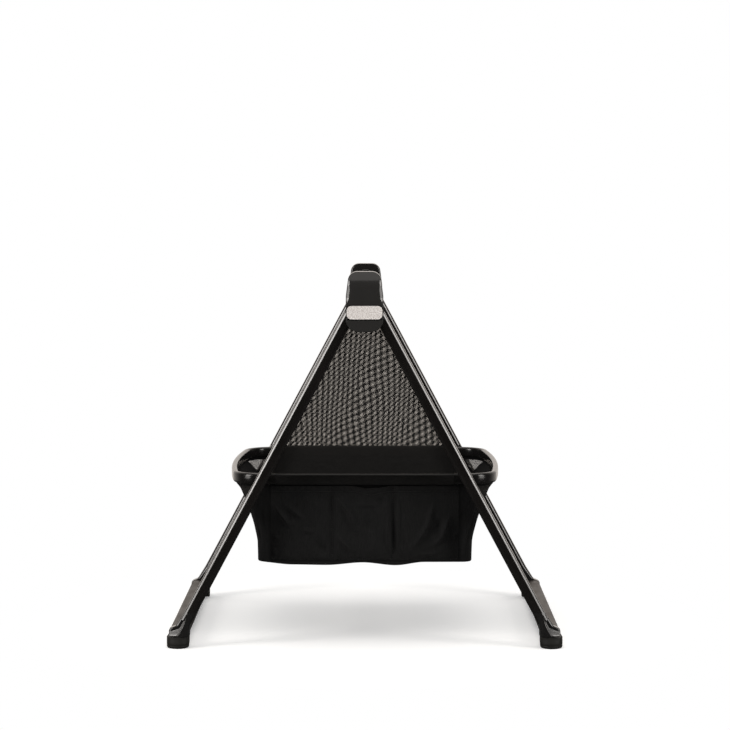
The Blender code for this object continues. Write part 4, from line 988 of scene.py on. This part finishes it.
def weave(tree, place, ends_per_metre, picks_per_metre):
    """Height and shade of a plain weave of ribs that lie along V and cross along U."""
    ribs = bands(tree, stretched(tree, place, ends_per_metre, 1), "X", WAVE_SCALE)
    picks = bands(tree, stretched(tree, place, 1, picks_per_metre), "Y", WAVE_SCALE)
    slubs = clouds(tree, place, (ends_per_metre * 0.25, 60), 2.0)
    height = maths(tree, "ADD", ribs, maths(tree, "MULTIPLY", picks, 0.45))
    return maths(tree, "ADD", height, maths(tree, "MULTIPLY", slubs, 0.6)), slubs


def within(value, low=0.0, high=1.0):
    return min(high, max(low, value))


def along_line(points, x):
    """The height of a smooth line over x, from its points."""
    x = within(x, points[0][0], points[-1][0])
    for (ax, az), (bx, bz) in zip(points, points[1:]):
        if x <= bx:
            return az + (bz - az) * ease_between(x, ax, bx)
    return points[-1][1]


def bag_outline(share):
    """The bag's level outline: points and outward normals, from its base (0) to its mouth (1)."""
    base, mouth = (BASE_X, BASE_Y, BASE_CORNER, 0.0), (MOUTH_X, MOUTH_Y, MOUTH_CORNER, MOUTH_BOW)
    half_x, half_y, corner, bow = (a + (b - a) * share for a, b in zip(base, mouth))
    half = right_half(half_x, half_y, corner, bow, 0.0, 24, 22)
    # the straight near and far runs get as many points as the sides
    run = (half_x - bow - corner) / FLAT_POINTS
    flat_run = [(Vector((run * i, -half_y, 0)), -Y) for i in range(FLAT_POINTS)]
    right = flat_run + half[4:-4] + flipped(flat_run, 1, -1)
    return right[:-1] + flipped(right, -1, 1)[:-1]


def crease_lift(place, lines):
    """How far creases lift the cloth at a place: each is its way as points, how high, how wide."""
    total = 0.0
    for line, high, wide in lines:
        best, along = 1.0, 0.5
        for k, (a, b) in enumerate(zip(line, line[1:])):
            a, b = Vector(a), Vector(b)
            t = within((place - a).dot(b - a) / (b - a).length_squared)
            off = (place - a.lerp(b, t)).length
            if off < best:
                best, along = off, (k + t) / (len(line) - 1)
        total += high * (0.25 + 0.75 * math.sin(math.pi * along)) * math.exp(-(best / wide) ** 2)
    return total


def slack(point, out, height):
    """How far the cloth stands in or out: long soft folds that die away at the rim and the base."""
    hold = math.sin(math.pi * within(height)) ** 0.8
    along_wall = point.x * abs(out.y) + point.y * abs(out.x)
    wall = (3.0 if abs(out.y) > 0.7 else 7.0) + 20.0 * (out.x + out.y > 0)
    fold = FOLD_DEEP * noise.noise(Vector((along_wall * 16 + height * 1.2, height * 1.3, wall)))
    crease = CREASE_DEEP * noise.noise(Vector((along_wall * 34 - height * 3.5, height * 2.0, wall + 5)))
    depth = 1.0 if abs(out.y) > 0.7 else SIDE_SHARE
    total = hold * depth * (fold + crease) + BELLY * hold * abs(out.x)
    # at the very top of the sides the cloth comes out over the ring
    if abs(out.x) > 0.02:
        total += FLARE * abs(out.x) ** 0.5 * ease_between(height, FLARE_FROM, FLARE_TO)
    if out.y > 0.9 and height > 0.7:
        total += crease_lift(Vector((point.x, BAG_LOW + height * (BAG_TOP - BAG_LOW))), SWAGS)
    return total


def hang(point):
    """How far the bottom edge drops below its level at a place."""
    near = along_line(HANG, point.x) - BAG_LOW
    rest = FLOOR_SAG * noise.noise(Vector((point.x * 14, point.y * 14, 2.0)))
    share = within((-point.y - 0.10) / 0.09)
    return near * share + rest * (1 - share)


def bag_rows(inset):
    """Rows of the bag from the middle of its floor up to the rim, moved in by the wall."""
    base, floor_z, rows = bag_outline(0.0), BAG_LOW + inset, []
    for k in (0.04, 0.2, 0.4, 0.6, 0.78, 0.9):
        rows.append([Vector((p.x * k, p.y * k, floor_z + min(0.0, hang(p)) * k ** 6)) for p, n in base])
    for turn in (0, 22, 45, 68, 90):
        back = inset + EDGE_ROUND * (1 - math.sin(math.radians(turn)))
        z = floor_z + EDGE_ROUND * (1 - math.cos(math.radians(turn)))
        rows.append([p - n * back + (z + hang(p) * (1 - turn / 90 * 0.25)) * Z for p, n in base])
    start, stiff_top = BAG_LOW + EDGE_ROUND + 0.002, BAG_LOW + BASE_TALL
    for i in range(WALL_ROWS):
        z = start + (BAG_TOP - start) * i / (WALL_ROWS - 1)
        share = within((z - stiff_top) / (RING_UNDER - stiff_top)) ** SWEEP
        height, stiff = (z - BAG_LOW) / (BAG_TOP - BAG_LOW), within((z - BAG_LOW) / 0.05)
        drop = 0.7 * max(0.0, 1 - (z - start) / 0.035) ** 2
        rows.append([p + n * (slack(p, n, height) * stiff - inset) + (z + hang(p) * drop) * Z
                     for p, n in bag_outline(share)])
    return rows


bag_cloth, tree, shader, place = new_material("black woven polyester", (0.008, 0.0077, 0.0074), 0.82,
                                              flat=True, specular_ior_level=0.06, sheen_weight=0.02,
                                              sheen_roughness=0.5)
height, slub = weave(tree, place, THREADS, THREADS)
# the near wall's lower part, where it faces the light squarely, is painted lighter, like the pockets on it:
# painted light
spot = node(tree, "SeparateXYZ", {0: node(tree, "TexCoord").outputs["Object"]}).outputs
painted_light_near_wall = maths(tree, "MULTIPLY", between(tree, spot["Y"], -0.200, -0.185, 1.0, 0.0),
              between(tree, spot["Z"], 0.165, 0.235, 1.0, 0.0))
shade = maths(tree, "MAXIMUM", maths(tree, "MULTIPLY", slub, 0.4), maths(tree, "MULTIPLY", painted_light_near_wall, 0.9))
tinted(tree, shader, shade, (0.0026, 0.0026, 0.0026), (0.0100, 0.0100, 0.0100))
bumped(tree, shader, height, 0.0001, 0.5)

# Corner vents: at each corner of the bag a triangle of its wall is cut out below the rim, and
# closed with a fine mesh in the middle of the wall's thickness.
VENT_LOW, VENT_APEX, VENT_SIDES = 0.2432, math.radians(44), (math.radians(2), math.radians(76))
VENT_HEART, VENT_RADIUS, VENT_RIM = Vector((0.171, 0.165, 0.0)), 0.0445, BAG_TOP - 0.0052
VENT_NEAR = Vector((0.160, 0.150, VENT_LOW - 0.006))


def vent_planes(across, along):
    """The planes round the vent at a corner of the bag, each as a place on it and its inward way."""
    heart = Vector((across * VENT_HEART.x, along * VENT_HEART.y, 0.0))

    def spot(angle, z):
        out = Vector((across * math.cos(angle), along * math.sin(angle), 0))
        return heart + out * VENT_RADIUS + z * Z

    apex, middle = spot(VENT_APEX, VENT_LOW), spot(VENT_APEX, VENT_RIM)
    planes = [(VENT_RIM * Z, -Z)]
    for angle in VENT_SIDES:
        top = spot(angle, VENT_RIM)
        inward = heart - (apex + top) / 2
        inward.z = 0
        way = (top - apex).cross(inward).normalized()
        planes.insert(-1, (apex, way if way.dot(middle - apex) > 0 else -way))
    return planes


cut_bag, vents = bmesh.new(), bmesh.new()
cut_bag.from_mesh(skin("basket_bag", [([*bag_rows(0.0), *reversed(bag_rows(BAG_WALL))], True, True)], 60))
for across in (-1, 1):
    for along in (-1, 1):
        near = []
        for face in cut_bag.faces:
            x, y, z = face.calc_center_median()
            if x * across > VENT_NEAR.x and y * along > VENT_NEAR.y and z > VENT_NEAR.z:
                near.append(face)
        planes = vent_planes(across, along)
        for place, way in planes:
            near = [f for f in near if f.is_valid]
            # dicts drop what comes twice but keep the order, so that each run gives the same mesh
            parts = dict.fromkeys([*near, *(e for f in near for e in f.edges),
                                   *(v for f in near for v in f.verts)])
            split = bmesh.ops.bisect_plane(cut_bag, geom=list(parts), dist=1e-6, plane_co=place, plane_no=way)
            pieces = [g for g in split["geom"] if isinstance(g, bmesh.types.BMFace)]
            near = list(dict.fromkeys(near + pieces))
        inside = [f for f in near if f.is_valid
                  and all((f.calc_center_median() - place).dot(way) > 0 for place, way in planes)]
        for face in inside:
            middle = face.calc_center_median()
            if face.normal.dot(Vector((middle.x, middle.y, 0))) > 0:
                vents.faces.new([vents.verts.new(v.co - v.normal * BAG_WALL / 2) for v in face.verts])
        bmesh.ops.delete(cut_bag, geom=inside, context="FACES")
        bmesh.ops.bridge_loops(cut_bag, edges=[e for e in cut_bag.edges if e.is_boundary])
bag_mesh = smoothed(cut_bag, bpy.data.meshes.new("basket_bag"), 50, weld=None)
bag = piece("basket_bag", bag_mesh, bag_cloth, "basket", "bag_fabric", "bag")

bmesh.ops.remove_doubles(vents, verts=vents.verts, dist=1e-5)
spread = vents.loops.layers.uv.new("UVMap")
for face in vents.faces:
    face.smooth = True
    for corner in face.loops:
        corner[spread].uv = (corner.vert.co.x + corner.vert.co.y, corner.vert.co.z)
vents_mesh = bpy.data.meshes.new("corner_vents")
vents.to_mesh(vents_mesh)
vents.free()
vent_net = fine_mesh("close corner mesh", 0.235, (0.0070, 0.0066, 0.0060), (0.0140, 0.0132, 0.0121))
corner_vents = piece("corner_vents", vents_mesh, vent_net, "basket", "bag_fabric")


# Base board: stiff card wrapped in the same cloth as the bag, laid loose on its floor to keep
# the base flat and boxy. Its edges are rounded by the cloth's turn.
BOARD_LOW, BOARD_X, BOARD_Y, BOARD_ROUND = 0.1393, 0.1745, 0.2025, 0.016
# Rows of the board: how high, and how far in from its outline; then how its top closes
BOARD_ROWS = ((0.0, 0.0012), (0.0004, 0.0003), (0.00125, 0.0), (0.0021, 0.0003), (0.0025, 0.0012))
BOARD_CLOSES = (0.93, 0.7, 0.4, 0.05)
rows = stacked((0, 0, BOARD_LOW), Z, 2 * BOARD_X, 2 * BOARD_Y, BOARD_ROUND, BOARD_ROWS, 8, Y)
for share in BOARD_CLOSES:
    rows.append([Vector((p.x * share, p.y * share, p.z)) for p in rows[len(BOARD_ROWS) - 1]])
solid("wrapped_board", [rows], 50, bag_cloth, "basket", "board", "base_board")


# Pockets: a ribbed black panel sewn to the bag's near wall, parted by two seams into three open
# pouches. The cloth is a little too long for its seams, so it bellies out and creases.
POCKET_BACK, POCKET_BELLY, POCKET_HALF, POCKET_CLOTH = 0.2100, 0.0080, 0.158, 0.0013
POCKET_LOW, POCKET_TOP, MOUTH_OVER, MOUTH_SAG = 0.1400, 0.2640, 0.0026, 0.0064
POCKET_ROWS, POCKET_COLUMNS, CREASED = 80, 256, 1.70
SEAMS = (-POCKET_HALF, -0.0551, 0.0477, POCKET_HALF)
SIDE_FALL, LOW_FALL, HIGH_FALL = 0.028, 0.011, 0.009
RIPPLE, FINE_RIPPLE, HEM_LIFT = 0.0012, 0.0005, 0.0005
# Creases pulled by the seams and the slack: the way each runs as (x, z), how high, how wide
CREASES = (
    (((-0.1548, 0.2360), (-0.1255, 0.1979)), 0.0040, 0.0042),
    (((-0.1310, 0.2317), (-0.1031, 0.2121)), 0.0028, 0.0044),
    (((-0.1288, 0.2059), (-0.1171, 0.2025)), 0.0022, 0.0034),
    (((-0.1036, 0.1924), (-0.0885, 0.1890)), 0.0026, 0.0040),
    (((-0.1560, 0.1860), (-0.1456, 0.1755)), 0.0026, 0.0040),
    (((-0.1570, 0.1636), (-0.1500, 0.1467)), 0.0024, 0.0040),
    (((-0.0486, 0.2486), (-0.0276, 0.2233), (-0.0164, 0.1924)), 0.0040, 0.0046),
    (((-0.0449, 0.1810), (-0.0197, 0.1535)), 0.0032, 0.0044),
    (((0.0054, 0.2120), (0.0060, 0.1860)), -0.0024, 0.0070),
    (((-0.0080, 0.2346), (0.0189, 0.2346)), 0.0024, 0.0032),
    (((0.0200, 0.2440), (0.0330, 0.2400)), -0.0022, 0.0050),
    (((0.0390, 0.2211), (0.0390, 0.1755), (0.0424, 0.1535)), 0.0022, 0.0036),
    (((0.0566, 0.2515), (0.0575, 0.1586)), 0.0018, 0.0030),
    (((0.1145, 0.2312), (0.1044, 0.1974), (0.0809, 0.1619)), 0.0042, 0.0046),
    (((0.1430, 0.2126), (0.1296, 0.1805), (0.1179, 0.1670)), 0.0036, 0.0044),
    (((0.1550, 0.1890), (0.1514, 0.1788)), 0.0024, 0.0036),
    (((0.0927, 0.1501), (0.1212, 0.1518)), 0.0022, 0.0036),
    (((-0.0850, 0.1700), (-0.0620, 0.1500)), -0.0026, 0.0080),
    (((0.1180, 0.1900), (0.1280, 0.2100)), -0.0018, 0.0050),
    (((-0.1000, 0.2480), (-0.0700, 0.2300)), 0.0012, 0.0080),
)


def pocket_z(x, up):
    """The height of a place on the panel: the mouths wave a little, and the middle one sags open."""
    sag = MOUTH_SAG * math.exp(-((x - 0.0095) / 0.018) ** 2)
    mouth = POCKET_TOP + MOUTH_OVER - sag + 0.0010 * noise.noise(Vector((x * 22, 0.3, 8.0)))
    return POCKET_LOW + up * (mouth - POCKET_LOW)


def pocket_face(x, up):
    """How far the panel stands off the bag at a place (up runs from 0 at the bottom to 1)."""
    start, stop = next((a, b) for a, b in zip(SEAMS, SEAMS[1:]) if x <= b or b == SEAMS[-1])
    share = within((x - start) / (stop - start))
    # steep beside the two middle seams, and a long fall towards the sides
    low_side = SIDE_FALL if start == SEAMS[0] else LOW_FALL
    high_side = SIDE_FALL if stop == SEAMS[-1] else HIGH_FALL
    across = (ease_between(x, start - 0.001, start + low_side)
              * ease_between(-x, -stop - 0.001, -stop + high_side))
    rise = math.sin(min(1.0, up / 0.18) * math.pi / 2) ** 0.7
    mouth = 1.0 - 0.45 * max(0.0, (up - 0.70) / 0.30) ** 2
    if start == SEAMS[1]:
        mouth += 0.45 * ease_between(up, 0.80, 1.0) * math.exp(-((x - 0.010) / 0.022) ** 2)
    z = pocket_z(x, up)
    ripple = (RIPPLE * noise.noise(Vector((x * 38, z * 30, 4.0)))
              + FINE_RIPPLE * noise.noise(Vector((x * 90, z * 60, 9.0))))
    hold = min(1.0, 14.0 * share * (1 - share)) * rise * ease_between(-up, -1.0, -0.93)
    creased = (CREASED * crease_lift(Vector((x, z)), CREASES) + ripple) * hold
    hem = HEM_LIFT * ease_between(up, 0.925, 0.935)
    return max(0.0003, POCKET_BELLY * (0.03 + 0.56 * across * rise * mouth) + creased + hem)


ribbed_cloth, tree, shader, place = new_material("ribbed black polyester", (0.021, 0.020, 0.0195), 0.78,
                                                 flat=True, specular_ior_level=0.12, sheen_weight=0.03,
                                                 sheen_roughness=0.5)
height, slub = weave(tree, place, 3200.0, 900.0)
# the panel is painted darker towards its sewn sides, a painted shade; between them its tone wanders with the
# slubs
spot = node(tree, "SeparateXYZ", {0: node(tree, "TexCoord").outputs["Object"]}).outputs
inside = between(tree, maths(tree, "ABSOLUTE", spot["X"]), 0.130, 0.157, 1.0, 0.0)
tinted(tree, shader, maths(tree, "MULTIPLY", slub, inside), (0.0042, 0.0042, 0.0042),
       (0.0118, 0.0118, 0.0118))
wide_rib = bands(tree, stretched(tree, place, 600.0, 1), "X", WAVE_SCALE)
bumped(tree, shader, maths(tree, "ADD", height, maths(tree, "MULTIPLY", wide_rib, 1.6)), 0.00014, 0.8)

# the outer face, and the inner one, which stands up to the cloth's thickness behind it; the two
# close over the mouth, the sides and the bottom
rows = []
for j in range(POCKET_ROWS + 1):
    up, front, back = j / POCKET_ROWS, [], []
    for i in range(POCKET_COLUMNS + 1):
        x = -POCKET_HALF + 2 * POCKET_HALF * i / POCKET_COLUMNS
        off, z = pocket_face(x, up), pocket_z(x, up)
        front.append(Vector((x, -(POCKET_BACK + 0.0002 + off), z)))
        back.append(Vector((x, -(POCKET_BACK - 0.0007 + max(0.0, off - POCKET_CLOTH)), z)))
    rows.append(front + back[::-1])
pocket_panel = solid("pocket_panel", [rows], 60, ribbed_cloth, "basket", "bag_fabric", "pockets")


# Stitches: black thread sews the pockets down, in twin rows at each middle seam, and one row
# along the foot and under the hem. They are short rounded threads, laid along each line.
STITCH_LONG, STITCH_THICK, STITCH_APART = 0.0026, 0.00045, 0.0036
TWIN, SIDE_IN, FOOT_UP, HEM_UP, OFF_CLOTH = 0.0011, 0.003, 0.018, 0.93, 0.0002
STITCH_ROWS = ((-0.5, 0.25), (-0.42, 0.8), (0.0, 1.0), (0.42, 0.8), (0.5, 0.25))


def on_pockets(x, up):
    return Vector((x, -(POCKET_BACK + 2 * OFF_CLOTH + pocket_face(x, up)), pocket_z(x, up)))


thread, tree, shader, place = new_material("black sewing thread", (0.020, 0.0195, 0.0190), 0.50,
                                           specular_ior_level=0.4)
tinted(tree, shader, clouds(tree, place, 2500.0, 1.0), (0.0040, 0.0039, 0.0038), (0.0085, 0.0083, 0.0080))
sixths = [math.pi * k / 3 for k in range(6)]
hexagon = [(STITCH_THICK * math.cos(a), STITCH_THICK * math.sin(a)) for a in sixths]
rows = [ring_at((STITCH_LONG * far, 0, 0), share * Y, share * Z, hexagon) for far, share in STITCH_ROWS]
stitch = placed("one_stitch", skin("one_stitch", [(rows, True, True)], 80))

tree, given, result = new_tree("lock stitches",
                               {"Stitch": "Object", "Material": "Material", "Pitch": "Float"})
curve = geo(tree, "MeshToCurve", {"Mesh": given["Geometry"]})[0]
even = node(tree, "ResampleCurve", {"Curve": curve}, "GeometryNode")
if "Mode" in even.inputs:
    even.inputs["Mode"].default_value = "Length"
else:
    even.mode = "LENGTH"
tree.links.new(given["Pitch"], even.inputs["Length"])
tangent = geo(tree, "InputTangent")[0]
heading = node(tree, "AlignRotationToVector", {"Vector": tangent}, "FunctionNode", axis="X").outputs[0]
repeated(tree, given, result, even.outputs[0], "Stitch", heading)

path, verts, edges = bpy.data.meshes.new("pocket_stitches_path"), [], []
seam_xs = [seam + side * TWIN for seam in SEAMS[1:3] for side in (-1, 1)]
lines = [[on_pockets(x, 0.02 + 0.96 * i / 60) for i in range(61)] for x in seam_xs]
lines += [[on_pockets((POCKET_HALF - SIDE_IN) * (-1 + i / 75), up) for i in range(151)]
          for up in (FOOT_UP, HEM_UP)]
for line in lines:
    edges += [(len(verts) + i, len(verts) + i + 1) for i in range(len(line) - 1)]
    verts += line
path.from_pydata(verts, edges, [])
stitches = grown("pocket_stitches", path, tree, {"Stitch": stitch, "Material": thread, "Pitch": STITCH_APART})
stitches.shade_smooth()
piece("pocket_stitches", stitches, thread, "basket", "bag_fabric")
bpy.data.objects.remove(stitch)


bpy.context.view_layer.update()
